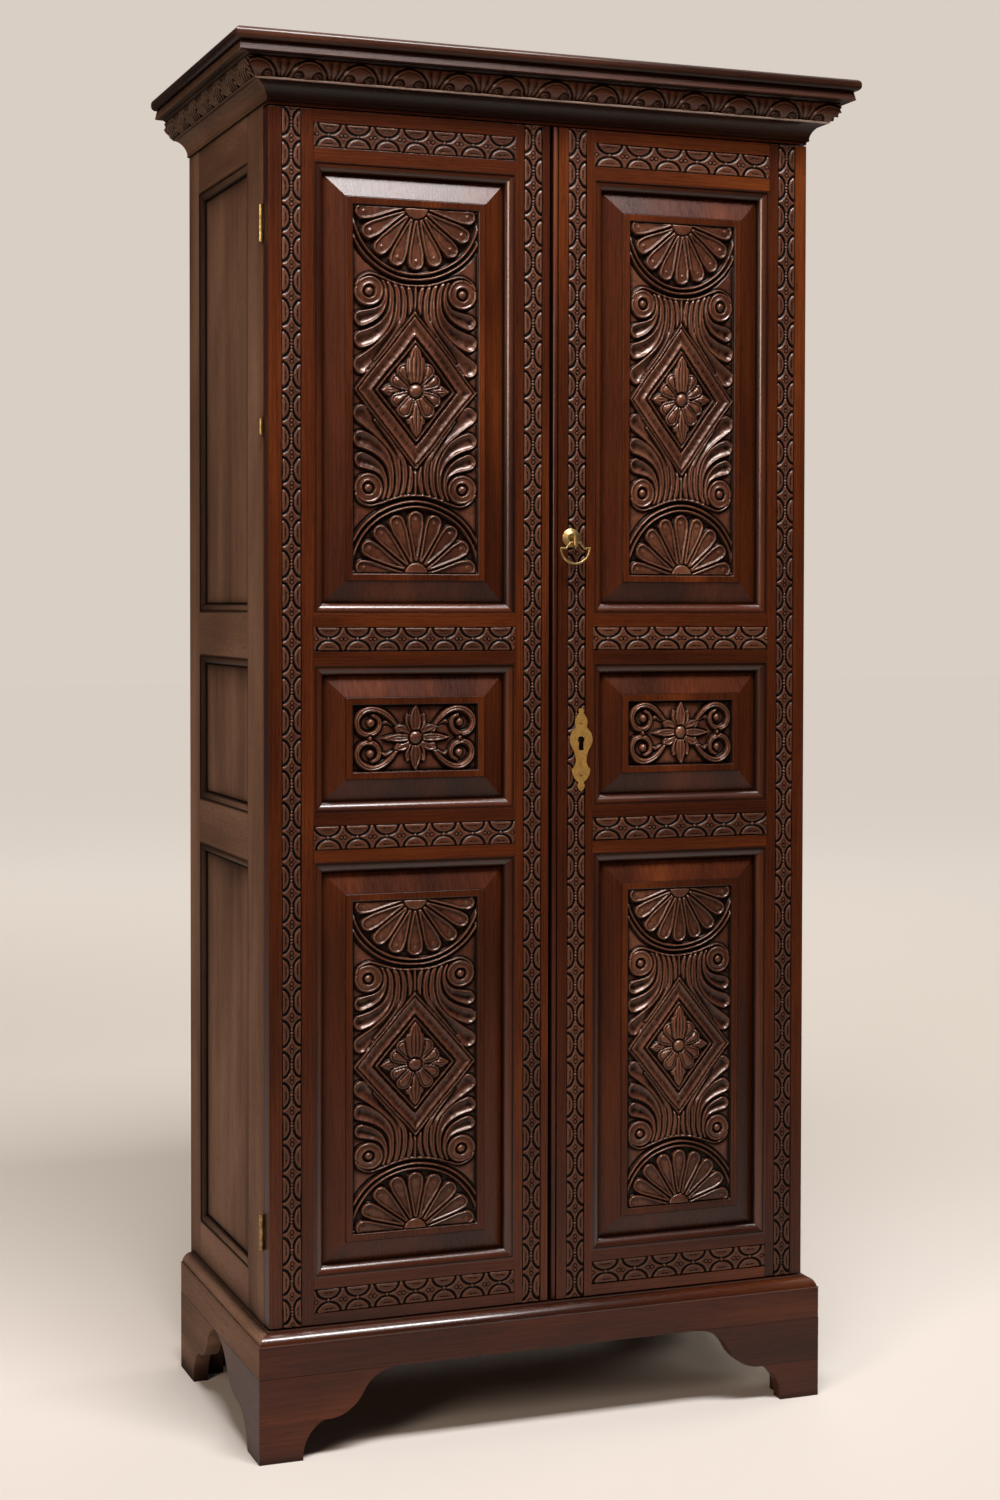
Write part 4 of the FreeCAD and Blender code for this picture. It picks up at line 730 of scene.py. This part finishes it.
def carvePanel(node, body, relief, size, seed):
    # the ground of a raised panel, filled edge to edge with carving that rises from its
    # floor; outside it a plain border stands a little over the bevel, with a soft edge, and
    # painted shade lines along both edges of the border
    field, cell = panelField, size["cell"]
    inset = framing["tongue"] + framing["doorMoulding"] + field["bevel"]
    low, high = boxOf(node)
    x0, x1, z0, z1 = low[0] + inset, high[0] - inset, low[2] + inset, high[2] - inset
    x, z = flatPatch(x0, x1, z0, z1, cell)
    border = field["border"]
    toEdge = np.minimum.reduce([x - x0, x1 - x, z - z0, z1 - z])
    px = (x - (x0 + x1) / 2) / (x1 - x0 - 2 * border) * 2 * size["halfWidth"]
    pz = (z - (z0 + z1) / 2) / (z1 - z0 - 2 * border) * 2 * size["halfHeight"]
    height = relief(px + wander(x.shape, field["drift"], cell, seed),
                    pz + wander(x.shape, field["drift"], cell, seed + 1), size)
    height = blurred(height, 0.45) + wander(x.shape, field["tooth"], cell, seed + 2)
    height = np.clip(height, 0.1, size["relief"] + 0.3) * size["proud"]
    inner = border - toEdge
    height = np.where(inner > -1.2, 0.8, height)
    rim = field["borderRise"] - ridge(inner, 1.0) * 1.0 - ridge(inner - border, 1.0) * 1.2
    height = np.where(inner >= -0.1, rim, height)
    height[[0, -1]] = height[:, [0, -1]] = field["borderSkirt"]
    hollow, crest = shadeOf(height, cell)
    # painted shade: dark lines along both edges of the border and in the sunk step outside it
    edges = np.maximum(ridge(inner, 1.9) * 0.9, ridge(inner - border, 2.2) * 0.9)
    hollow = np.where(inner > 0.4, edges, np.maximum(hollow, ridge(inner, 2.4) * 0.9))
    crest = np.where(inner > -1.0, 0, crest)
    flatRelief(node + "_carving", body, x, z, doorFace + field["ground"], height, 0.4,
               (hollow, crest), boardsAlong(2, seed * 0.013), (carvedWood, frontWood),
               inner > 0.6)


for side, firstSeed in (("left", 10), ("right", 50)):
    for step, (level, relief, size) in enumerate((
            ("upper", tallRelief, tallCarving), ("middle", lowRelief, lowCarving),
            ("lower", tallRelief, tallCarving))):
        carvePanel(f"{side}_{level}_panel", f"door_{side}", relief, size, firstSeed + 4 * step)


# carved bands of the frame
bandCarving = {
    "pitch": 42.0, "cell": 0.85, "depth": 1.5, "proud": 0.45,
    "lunetteHalf": 17.2, "groove": 2.9, "beadRadius": 2.1,
    "stileWidth": 27.5,
    "stileInsets": (18.0, 12.0, 22.0, 14.0),     # from each stile's left side
    "railHalf": 16.5,
    "railMiddles": (207.5, 835.0, 1102.75, 1777.0),
    # the bore is painted black, as its shade
    "bore": (9.0, 21.0),                         # half size of the dark bore of the lock
    "stileBeads": (0, 4.4),                      # beads from the middle of a meeting
    "railBeads": (0,),
    "cutShade": 4.2,                             # how much deeper the cuts are shaded
    "drift": (20, 0.5),                          # waves along and across the band
    "sway": (20, 0.25),
    "tooth": (2.0, 0.06),
}


def bandRelief(along, across, width, size, beads):
    # facing half ovals meet at a bead; concave lozenges with a pip stand between them
    pitch = size["pitch"]
    u, v = repeated(along, pitch), np.abs(across)
    reach = width / 2 - size["beadRadius"]
    # scaled distance to the half oval that stands on the band's edge
    oval = np.hypot(u / size["lunetteHalf"], (width / 2 - v) / reach)
    toOval = (1 - oval) * min(size["lunetteHalf"], reach)
    height = 1.7 - ridge(toOval + 0.2, size["groove"]) * 1.7
    height -= ridge(v - width / 2 + 0.3, 1.8) * 1.7
    marks = np.hypot((u - 3.0 * np.sign(u)) / 3.4, (width / 2 - v - 5.5) / 1.1)
    height -= dome(marks, 1.0) * 0.35
    for place in beads:
        bead = size["beadRadius"] * (1 if place == 0 else 0.8)
        height = ballIn(height, np.hypot(np.abs(u) - place, v), bead, 0.8, 0.1, 0.5, 1.7)
    # a pip on the flat between the ovals
    pip = np.hypot(pitch / 2 - np.abs(u) - 3, v)
    height += dome(pip, 1.7) * 0.5 - ridge(pip - 2.6, 1.2) * 0.45
    return np.clip(height, 0.0, size["depth"] + size["proud"])


def carveBand(name, body, x0, x1, z0, z1, upright, seed, bore=None):
    # a sunk band of the frame, filled with carving that runs along it; inside the bore, which
    # is (x, z) of its middle, the band is painted black as the bore's shade
    size, cell = bandCarving, bandCarving["cell"]
    x, z = flatPatch(x0, x1, z0, z1, cell)
    along, across = (z, x) if upright else (x, z)
    low, high, near, far = (z0, z1, x0, x1) if upright else (x0, x1, z0, z1)
    units = max(1, round((high - low) / size["pitch"]))
    stretched = (along - low) / (high - low) * units * size["pitch"]
    stretched = stretched + wander(x.shape, size["drift"], cell, seed)
    across = across - (near + far) / 2 + wander(x.shape, size["sway"], cell, seed + 1)
    height = bandRelief(stretched - size["pitch"] / 2, across, far - near, size,
                        size["stileBeads"] if upright else size["railBeads"])
    height = height + wander(x.shape, size["tooth"], cell, seed + 2)
    height = np.clip(height, 0.0, size["depth"] + size["proud"])
    # painted shade in the cuts and a painted highlight on the crests, cutShade times stronger
    hollow, crest = shadeOf(height * size["cutShade"], cell)
    # painted shade: the bore behind the keyhole is painted black
    if bore is not None:
        wide, tall = size["bore"]
        dark = (np.abs(x - bore[0]) < wide) & (np.abs(z - bore[1]) < tall)
        hollow = np.where(dark, 1.0, hollow)
    flatRelief(name, body, x, z, doorFace + size["depth"], height, 0.3, (hollow, crest),
               boardsAlong(2 if upright else 0, seed * 0.017), (bandWood,))


plateLow, plateHigh = boxOf("key_plate")
shadedKeyBore = (plateLow + plateHigh)[[0, 2]] / 2
stiles = ("left_hinge_stile", "left_meeting_stile", "right_meeting_stile", "right_hinge_stile")
for number, (node, inset) in enumerate(zip(stiles, bandCarving["stileInsets"])):
    low, high = boxOf(node)
    left = low[0] + inset
    carveBand(node + "_band", "door_" + node.split("_")[0], left,
              left + bandCarving["stileWidth"], low[2], high[2], True, 100 + number * 7,
              shadedKeyBore if node == "right_meeting_stile" else None)
for side, before, after, firstSeed in (("left", *stiles[:2], 200), ("right", *stiles[2:], 240)):
    start, end = boxOf(before)[1][0], boxOf(after)[0][0]
    for number, middle in enumerate(bandCarving["railMiddles"]):
        half = bandCarving["railHalf"]
        carveBand(f"{side}_rail_{number + 1}_band", f"door_{side}", start, end, middle - half,
                  middle + half, False, firstSeed + number * 5)


# carved crown of the cornice
crownCarving = {
    "pitch": 70.0,
    "phase": 3.0,            # a lunette's middle stands this far left of the press's middle
    "lunetteHalf": 26.5, "lunetteRise": 26.5,
    "leafAside": 13.5,       # the two small leaves of a lunette, from its middle and its foot
    "leafUp": 5.4,
    "cell": 0.8, "relief": 5.0,
    "ledge": 2.2,            # height of the plain fillet under the carving
    "rise": 22.0,
    "foot": 20.0,            # reach of the quarter round at its foot and at its nose
    "nose": 35.5,
    "bulge": 0.74,           # its radius as a share of its chord
    "drift": (14.4, 0.6),    # waves along the run, and of the tool's marks
    "tooth": (1.28, 0.07),
}


def crownRelief(along, up, size):
    # domed lunettes stand on the lower edge, each with a pair of ringed leaves in its
    # corners; slanting strands fill the gaps between
    pitch = size["pitch"]
    u = repeated(along + size["phase"], pitch)
    scaled = np.hypot(u / size["lunetteHalf"], up / size["lunetteRise"])
    toArch = (1 - scaled) * size["lunetteRise"]
    spread = (np.abs(u) - pitch / 2) / (5.5 + up * 0.42)
    strands = 1.5 + np.cos(spread * 2 * math.pi * 1.35) * 0.5
    strands -= ridge(toArch + 1.4, 2.4) * 2.4
    inArch = 1.0 + smooth(0, 1.4, toArch) * 1.4 + dome(scaled, 1.0) * 2.2
    inArch -= ridge(toArch - 3.4, 0.9) * 1.0
    height = np.where(toArch > 0, inArch, strands)
    leaf = np.hypot(np.abs(u) - size["leafAside"], (up - size["leafUp"]) * 0.86)
    ringed = 1.7 + np.cos((leaf - 1.6) * 2 * math.pi / 3.1) * 1.1 + 1.3 * smooth(8, 2, leaf)
    height = np.where((leaf < 7.4) & (toArch > 0.3), ringed, height)
    height -= ridge(leaf - 7.9, 1.1) * 1.6 * (toArch > 1.5)
    return np.clip(height, 0.1, size["relief"])


def waveRelief(along, up, size):
    # side runs: nested pointed arches, whose strands run down between each other to the ledge
    lean = along + up * 0.35 + 1.6 * np.sin(along / 23.0)
    bend = np.abs(repeated(lean, size["pitch"])) / 33.0
    wave = (bend ** 1.15 + (np.clip(up, 0, 40) / 27.0) ** 1.5) * 3.3
    height = 4.4 - ridge(wave % 1 - 0.5, 0.46) * 4.2
    height *= smooth(-1.0, 1.5, up) * smooth(-1.0, 1.5, size["rise"] - up) * 0.5 + 0.5
    return np.clip(height, 0.1, size["relief"])


def crownSection(size):
    # arc from foot to nose, its radius bulge times its chord: rows of (outward, up), outward
    # normals, and the length of arc up to each row
    foot, nose, rise = size["foot"], size["nose"], size["rise"]
    chord = math.hypot(nose - foot, rise)
    radius = chord * size["bulge"]
    along = np.array([nose - foot, rise]) / chord
    inward = np.array([-along[1], along[0]])
    centre = (np.array([(foot + nose) / 2, rise / 2])
              + inward * math.sqrt(radius ** 2 - chord ** 2 / 4))
    start = math.atan2(-centre[1], foot - centre[0])
    end = math.atan2(rise - centre[1], nose - centre[0])
    angles = np.linspace(start, end, int(abs(end - start) * radius / size["cell"]) + 1)
    normal = np.stack([np.cos(angles), np.sin(angles)], -1)
    return centre + normal * radius, normal, np.abs(angles - start) * radius


def carveCrown(word, side, relief, seed, depth, finish):
    # the relief stands off the quarter round along its normal; a run is cut on the mitre at
    # both ends on the front and at the front end on a side, so it grows by its own reach
    size = crownCarving
    section, normal, up = crownSection(size)
    out, level, up = section[:, :1], section[:, 1:], up[:, None]
    base = boxOf("crown_front")[0][2] + size["ledge"] + 0.3
    half = framing["caseHalf"]
    start, end = (doorFace, cornerRear) if side else (-half, half)
    first, last = start - out, end + out * (side == 0)
    position = first + (last - first) * np.linspace(0, 1, int((end - start) / size["cell"]))
    drifted = position + wander(position.shape, size["drift"], size["cell"], seed)
    height = relief(drifted, up + 0 * position, size)
    height += wander(position.shape, size["tooth"], size["cell"], seed + 1)
    height = np.clip(height, 0.05, size["relief"])
    height = height * smooth(0, 1.2, up) * smooth(0, 1.2, up[-1] - up) + 0.05

    def placed(away, lift):
        # out from the case: forward on the front run, sideways on the others
        if side == 0:
            return np.stack([position, doorFace - away, lift], -1)
        return np.stack([side * (half + away), position, lift], -1)[:, ::side]

    front = placed(out + height * normal[:, :1], base + level + height * normal[:, 1:])
    backs = placed(out - 0.5 + 0 * position, base + level + 0 * position)
    # painted shade in the cuts and a painted highlight on the crests, depth times stronger
    shade = shadeOf(height[:, ::side or 1] * depth, size["cell"])
    if side:
        grain, slot, deep = boardsAlong(1, 0.9), "side_wood", 0
    else:
        grain, slot, deep = boardsAlong(0, 0.7), "front_wood", 1
    reliefPiece(f"crown_{word}_carving", front, backs, shade, grain, "case", (finish,),
                deep)


carveCrown("front", 0, crownRelief, 300, 1.7, carvedWood)
for word, side in sides.items():
    carveCrown(word, side, waveRelief, 310 + side, 3.0, sideLitCarvedWood)

cornice = {       # sections of thin trims as (reach from the case, height) in mm
    "fascia": [(48.6, 1882.6), (49.5, 1882.4), (51.9, 1871.7), (51.6, 1870.9), (48.6, 1870.6)],
    "bead": [(19.0, 1843.7), (24.2, 1843.6), (25.1, 1843.0), (25.4, 1842.4), (25.0, 1841.7),
             (23.8, 1841.2), (19.0, 1841.2)],
}


def mitredRun(name, section, side, finish):
    # a closed section carried along the front or a side; each corner is cut on the mitre, so
    # a point's run ends at its own reach
    reach, level = np.array(section).T
    across = framing["caseHalf"] + reach
    ahead = doorFace - reach
    if side == 0:
        ends = [(across, ahead), (-across, ahead)]
    else:
        ends = [(side * across, ahead), (side * across, np.full(len(reach), cornerRear))][::-side]
    points = np.vstack([np.stack([x, y, level], -1) for x, y in ends])
    count = len(reach)
    ring = np.arange(count)
    following = np.roll(ring, -1)
    quads = np.stack([ring, following, following + count, ring + count], -1)
    faces = quads.tolist() + [ring[::-1].tolist(), (ring + count).tolist()]
    piece = newPiece(name, points, faces, "case",
                     (finish,))
    addGrain(piece.data, boardsAlong(1 if side else 0, 0.4))


for trim, frontFinish in (("fascia", corniceWood), ("bead", beadHighlightWood)):
    for word, side in (("front", 0), *sides.items()):
        mitredRun(f"{word}_{trim}_trim", cornice[trim], side, sideLitWood if side else frontFinish)


def doorOpening(node):
    # an opening of the framing is (crossing axis, low, high, foot, head) in mm; on a door it
    # is the panel's box less its tongue on each side
    low, high = boxOf(node)
    tongue = framing["tongue"]
    return 0, low[0] + tongue, high[0] - tongue, low[2] + tongue, high[2] - tongue


doorOpenings = {side: [doorOpening(f"{side}_{level}_panel")
                       for level in ("lower", "middle", "upper")] for side in sides}
sideLow, sideHigh = boxOf("left_side_rails")
sideHeads = (*framing["sideHeads"], sideHigh[2] - framing["sideTopRail"])
sideOpenings = [(1, sideLow[1] + framing["tongue"], sideHigh[1] - framing["tongue"], foot, head)
                for foot, head in zip(framing["sideFeet"], sideHeads)]

sideShade = {
    "cell": 3.0,
    "proud": 0.15,
    # painted shade at each edge of a panel: how dark, and how far into the panel it fades, in mm
    "rear": (0.95, 9.0), "front": (0.25, 4.0), "top": (0.8, 12.0), "foot": (0.55, 5.0),
}


def sidePanelShadow(word, side, number, opening):
    # painted shadow on a sunk side panel: a thin sheet on its face; each edge is darkened by
    # its amount times exp(-distance / reach)
    width = framing["sideMoulding"]
    y0, y1, z0, z1 = np.array(opening[1:]) + np.array([width, -width, width, -width])
    y, z = flatPatch(y0, y1, z0, z1, sideShade["cell"])
    hollow = np.zeros(y.shape)
    for edge, distance in (("rear", y1 - y), ("front", y - y0), ("top", z1 - z),
                           ("foot", z - z0)):
        amount, reach = sideShade[edge]
        fade = amount * np.exp(-np.clip(distance, 0, None) / reach)
        hollow = np.maximum(hollow, fade)
    face = max(abs(corner[0]) for corner in boxOf(f"{word}_side_panels"))
    out = np.full(y.shape, side * (face + sideShade["proud"]))
    front = np.stack([out, y, z], -1)[:, ::side]
    backs = np.stack([out - side * 0.1, y, z], -1)[:, ::side]
    hollow = hollow[:, ::side]
    reliefPiece(f"{word}_side_painted_shadow_{number}", front, backs, (hollow, 0 * hollow),
                boardsAlong(2, 0.29 * number), "case", (sideLitWood,), 0)


for word, side in sides.items():
    for number, opening in enumerate(sideOpenings):
        sidePanelShadow(word, side, number, opening)


def shadeMoulding(piece, openings, width, rearRunShade, topRunShade):
    # painted shade: dark lines in the quirk and at the inner edge of a planted moulding, by each
    # vertex's distance from the opening's edge; the rear and top runs are painted darker as a
    # whole
    points = readAll(piece.data.vertices, "co", 3) / mm
    hollow = np.zeros(len(points))
    for cross, low, high, foot, head in openings:
        u, z = points[:, cross], points[:, 2]
        within = (u > low - 1) & (u < high + 1) & (z > foot - 1) & (z < head + 1)
        inset = np.minimum.reduce([u - low, high - u, z - foot, head - z])
        dark = np.maximum(ridge(inset - 3.2, 2.2) * 0.85, ridge(inset - width, 3.0) * 0.95)
        onRear = high - u < width + 0.5
        onTop = (head - z <= inset + 0.5) & (head - z < width + 0.5)
        dark = np.maximum.reduce([dark, onRear * rearRunShade, onTop * topRunShade])
        hollow = np.where(within, dark, hollow)
    addLayer(piece.data, "hollow", hollow)


for side in sides:
    shadeMoulding(nodes[f"{side}_side_mouldings"], sideOpenings, framing["sideMoulding"],
                  rearRunShade=0.8, topRunShade=0.3)
    shadeMoulding(nodes[f"{side}_door_mouldings"], doorOpenings[side],
                  framing["doorMoulding"], rearRunShade=0.0, topRunShade=0.25)

easedEdges = {       # width of the rounding in mm: nodes that have it
    0.4: "case_front_rails base_moulding_front base_moulding_sides",
    0.5: "cornice_cap",
    0.6: "left_front_stile left_rear_stile right_front_stile right_rear_stile "
         "left_side_rails right_side_rails",
    0.7: " ".join(stiles) + " left_door_rails right_door_rails",
    0.8: "plinth_front plinth_sides shelves",
    1.0: "back_boards",
    1.1: "front_left_foot front_right_foot rear_left_foot rear_right_foot",
}
for width, eased in easedEdges.items():
    # planed and worn edges: corners that coincide are welded, then edges sharper than 40
    # degrees are rounded
    for node in eased.split():
        nodes[node].modifiers.new("weld", "WELD").merge_threshold = 1e-5
        ease = nodes[node].modifiers.new("ease", "BEVEL")
        ease.width, ease.segments = width * mm, 2
        ease.limit_method, ease.angle_limit = "ANGLE", math.radians(40)
print("edges eased:", sum(len(eased.split()) for eased in easedEdges.values()))


# grain directions and finishes of the CAD boards
def mouldingRuns(openings):
    # a run round an opening is upright where the side edges are nearer than the top and bottom
    def axisOf(centres, normals):
        axis, shift = np.zeros(len(centres), int), np.zeros(len(centres))
        best = np.full(len(centres), 1e9)
        for number, (cross, x0, x1, z0, z1) in enumerate(openings):
            u, z = centres[:, cross], centres[:, 2]
            upright = (np.minimum(np.abs(u - x0), np.abs(u - x1))
                       < np.minimum(np.abs(z - z0), np.abs(z - z1)))
            outside = (np.maximum(0, np.maximum(x0 - u, u - x1))
                       + np.maximum(0, np.maximum(z0 - z, z - z1)))
            closer = outside < best - 0.5
            best = np.where(closer, outside, best)
            axis = np.where(closer, np.where(upright, 2, cross), axis)
            shift = np.where(closer, number * 0.31 + upright * 0.17, shift)
        return axis, shift
    return axisOf


def footBoards(centres, normals):
    # foot boards run level: those that face front or back in x, the side ones in y
    thickness, split = 24, 52        # of a bracket board, and the height where its halves meet
    facing = np.abs(normals[:, 1]) >= np.abs(normals[:, 0])
    side = np.abs(centres[:, 0]) > np.abs(centres[:, 0]).max() - thickness
    front = centres[:, 1] < centres[:, 1].min() + thickness
    level = np.where(np.abs(normals[:, 2]) > 0.5, side & ~front, ~facing)
    return np.where(level, 1, 0), level * 0.4 + (centres[:, 2] > split) * 0.23


shelfGaps, railGaps = (700, 1000, 1350), (500, 950, 1400)
boards = {        # node: finish, then (axis, shift, axis across, edges between) or a function
    "left_front_stile": (sideLitWood, 2, 0.1), "left_rear_stile": (sideLitWood, 2, 0.5),
    "right_front_stile": (sideLitWood, 2, 0.3), "right_rear_stile": (sideLitWood, 2, 0.8),
    "back_boards": (innerWood, 2, 0.0, 0, np.linspace(-252, 252, 5)),
    "case_ceiling": (innerWood, 0, 0.2), "case_floor": (innerWood, 0, 0.6),
    "case_front_rails": (frontWood, 0, 0.0, 2, (1000,)),
    "shelves": (innerWood, 0, 0.0, 2, shelfGaps),
    "shelf_bearers": (innerWood, 1, 0.0, 2, shelfGaps),
    "cornice_cap": (corniceWood, 0, 0.45),
    "crown_front": (corniceWood, 0, 0.7), "crown_sides": (sideLitWood, 1, 0.9),
    "cove_front": (corniceWood, 0, 0.15), "cove_sides": (sideLitWood, 1, 0.25),
    "plinth_front": (frontWood, 0, 0.35), "plinth_sides": (sideLitWood, 1, 0.55),
    "plinth_back": (innerWood, 0, 0.65), "base_bearers": (innerWood, 0, 0.75),
    "base_moulding_front": (mouldingWood, 0, 0.85), "base_moulding_sides": (sideLitWood, 1, 0.95),
    "front_left_foot": (frontWood, footBoards), "front_right_foot": (frontWood, footBoards),
    "rear_left_foot": (sideLitWood, footBoards), "rear_right_foot": (sideLitWood, footBoards),
}
for number, node in enumerate(stiles):
    boards[node] = (frontWood, 2, 1.1 + number * 0.1)
for number, side in enumerate(sides):
    boards[f"{side}_side_rails"] = (sideLitWood, 1, 0.0, 2, (500, 900, 1500))
    boards[f"{side}_side_panels"] = (sideLitWood, 2, 0.0, 2, (830, 1100))
    boards[f"{side}_side_mouldings"] = (sideLitWood, mouldingRuns(sideOpenings))
    boards[f"{side}_door_rails"] = (frontWood, 0, 0.0, 2, railGaps)
    boards[f"{side}_door_mouldings"] = (mouldingWood, mouldingRuns(doorOpenings[side]))
    for step, level in enumerate(("upper", "middle", "lower")):
        boards[f"{side}_{level}_panel"] = (frontWood, 2, 1.5 + number * 0.3 + step * 0.1)
metals = {        # node: (finish, slot)
    **dict.fromkeys(("left_case_leaves", "right_case_leaves", "left_door_leaves",
                     "right_door_leaves", "hinge_pins", "ring_plate", "ring_pull"),
                    (brass, "aged_brass")),
    "key_plate": (brassPlate, "aged_brass"),
    **dict.fromkeys(("lock_case", "lock_bolt", "lock_keep", "bolt_guides", "bolt_keepers",
                     "top_bolt", "bottom_bolt"), (iron, "lock_iron")),
}
for node, (finish, *grain) in {**boards, **metals}.items():
    mesh = nodes[node].data
    mesh.materials.clear()
    mesh.materials.append(finish)
    if node in metals:
        continue
    axisOf = grain[0] if callable(grain[0]) else boardsAlong(*grain)
    addGrain(mesh, axisOf, 0 if finish is sideLitWood else 1)
print("nodes finished:", len(boards) + len(metals))


# the floor is lit by the lamps and holds the shadow; away from the press it fades into the
# pale colour of the studio, which only the camera sees
stageLook = {
    "paper": "#c2bcb6", "studio": "#d9cfc5", "studioGlow": 1.0, "floorGlow": 0.95,
    "lightOfAll": 0.07,      # how much of the studio's colour lights the press
    "glowStart": 0.2,        # metres from the middle of the press
    "glowFull": 7.4,
    "floorHalf": 30.0,
}


def paperMaterial():
    # matt studio paper; with distance it gives off the studio's own colour to the camera
    material, tree, shader = newMaterial("mattPaper")
    place = addNode(tree, "TexCoord", out="Object")
    away = addNode(tree, "VectorMath", {0: place}, "Value", operation="LENGTH")
    far = addNode(tree, "MapRange", {
        "Value": away, "From Min": stageLook["glowStart"], "From Max": stageLook["glowFull"],
        "To Min": 0.0, "To Max": stageLook["floorGlow"]}, interpolation_type="SMOOTHSTEP")
    seen = addNode(tree, "LightPath", out="Is Camera Ray")
    glow = addNode(tree, "Math", {0: far, 1: seen}, operation="MULTIPLY")
    fillSockets(tree, shader, {
        "Base Color": toLinear(stageLook["paper"]), "Roughness": 1.0,
        "Specular IOR Level": 0.0, "Emission Color": toLinear(stageLook["studio"]),
        "Emission Strength": glow})
    return material


# even studio light, dim for the press and pale for the camera
scene.world = bpy.data.worlds.new("studio")
scene.world.use_nodes = True
tree = scene.world.node_tree
seen = addNode(tree, "LightPath", out="Is Camera Ray")
strength = addNode(tree, "Math", {
    0: seen, 1: stageLook["studioGlow"] - stageLook["lightOfAll"], 2: stageLook["lightOfAll"],
}, operation="MULTIPLY_ADD")
fillSockets(tree, tree.nodes["Background"], {"Color": toLinear(stageLook["studio"]),
                                             "Strength": strength})

half = stageLook["floorHalf"]
floorMesh = bpy.data.meshes.new("paperFloor")
corners = [(-half, -half, 0), (half, -half, 0), (half, half, 0), (-half, half, 0)]
floorMesh.from_pydata(corners, [], [(0, 1, 2, 3)])
floorMesh.materials.append(paperMaterial())
paperFloor = bpy.data.objects.new("paperFloor", floorMesh)
scene.collection.objects.link(paperFloor)
paperFloor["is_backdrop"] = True

lamps = {     # name: (place, aim, width, height, watts, beam in degrees, colour)
    "boxAbove": ((-0.15, -1.75, 4.0), (-0.1, -0.1, 1.3), 2.2, 0.84, 66, 84, "#fffdfd"),
    "skyPanel": ((1.4, 2.2, 5.6), (1.4, 1.9, 0.0), 6.0, 4.5, 58, 120, "#fff8f0"),
    "windowLeft": ((-3.4, -2.9, 2.6), (-0.3, 0.0, 1.2), 1.0, 1.8, 112, 180, "#ffe4ce"),
    "fillRight": ((4.2, 0.8, 2.4), (0.3, 0.1, 0.9), 1.6, 2.0, 60, 180, "#fff0e0"),
    "fillBack": ((2.2, 4.4, 3.4), (0.0, 0.3, 1.0), 2.0, 1.4, 28, 180, "#fff6ee"),
}
for name, (place, aim, width, height, watts, beam, colour) in lamps.items():
    light = bpy.data.lights.new(name, "AREA")
    light.shape, light.size, light.size_y = "RECTANGLE", width, height
    light.energy, light.spread = watts, math.radians(beam)
    light.color = toLinear(colour)[:3]
    lamp = bpy.data.objects.new(name, light)
    lamp.location = place
    lamp.rotation_euler = (Vector(aim) - Vector(place)).to_track_quat("-Z", "Y").to_euler()
    scene.collection.objects.link(lamp)
print("lamps:", len(lamps))

cameraData = bpy.data.cameras.new("camera")
cameraData.lens, cameraData.sensor_width, cameraData.clip_end = 58.12, 36, 60
cameraData.shift_x, cameraData.shift_y = -0.0018, -0.0543
camera = bpy.data.objects.new("camera", cameraData)
camera.location = (-1.2505, -3.3240, 1.1513)
turn = [math.radians(angle) for angle in (88.465, -0.103, -20.727)]
camera.rotation_euler = Euler(turn, "XYZ")
scene.collection.objects.link(camera)
scene.camera = camera
scene.view_settings.view_transform = "Standard"

low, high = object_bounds()
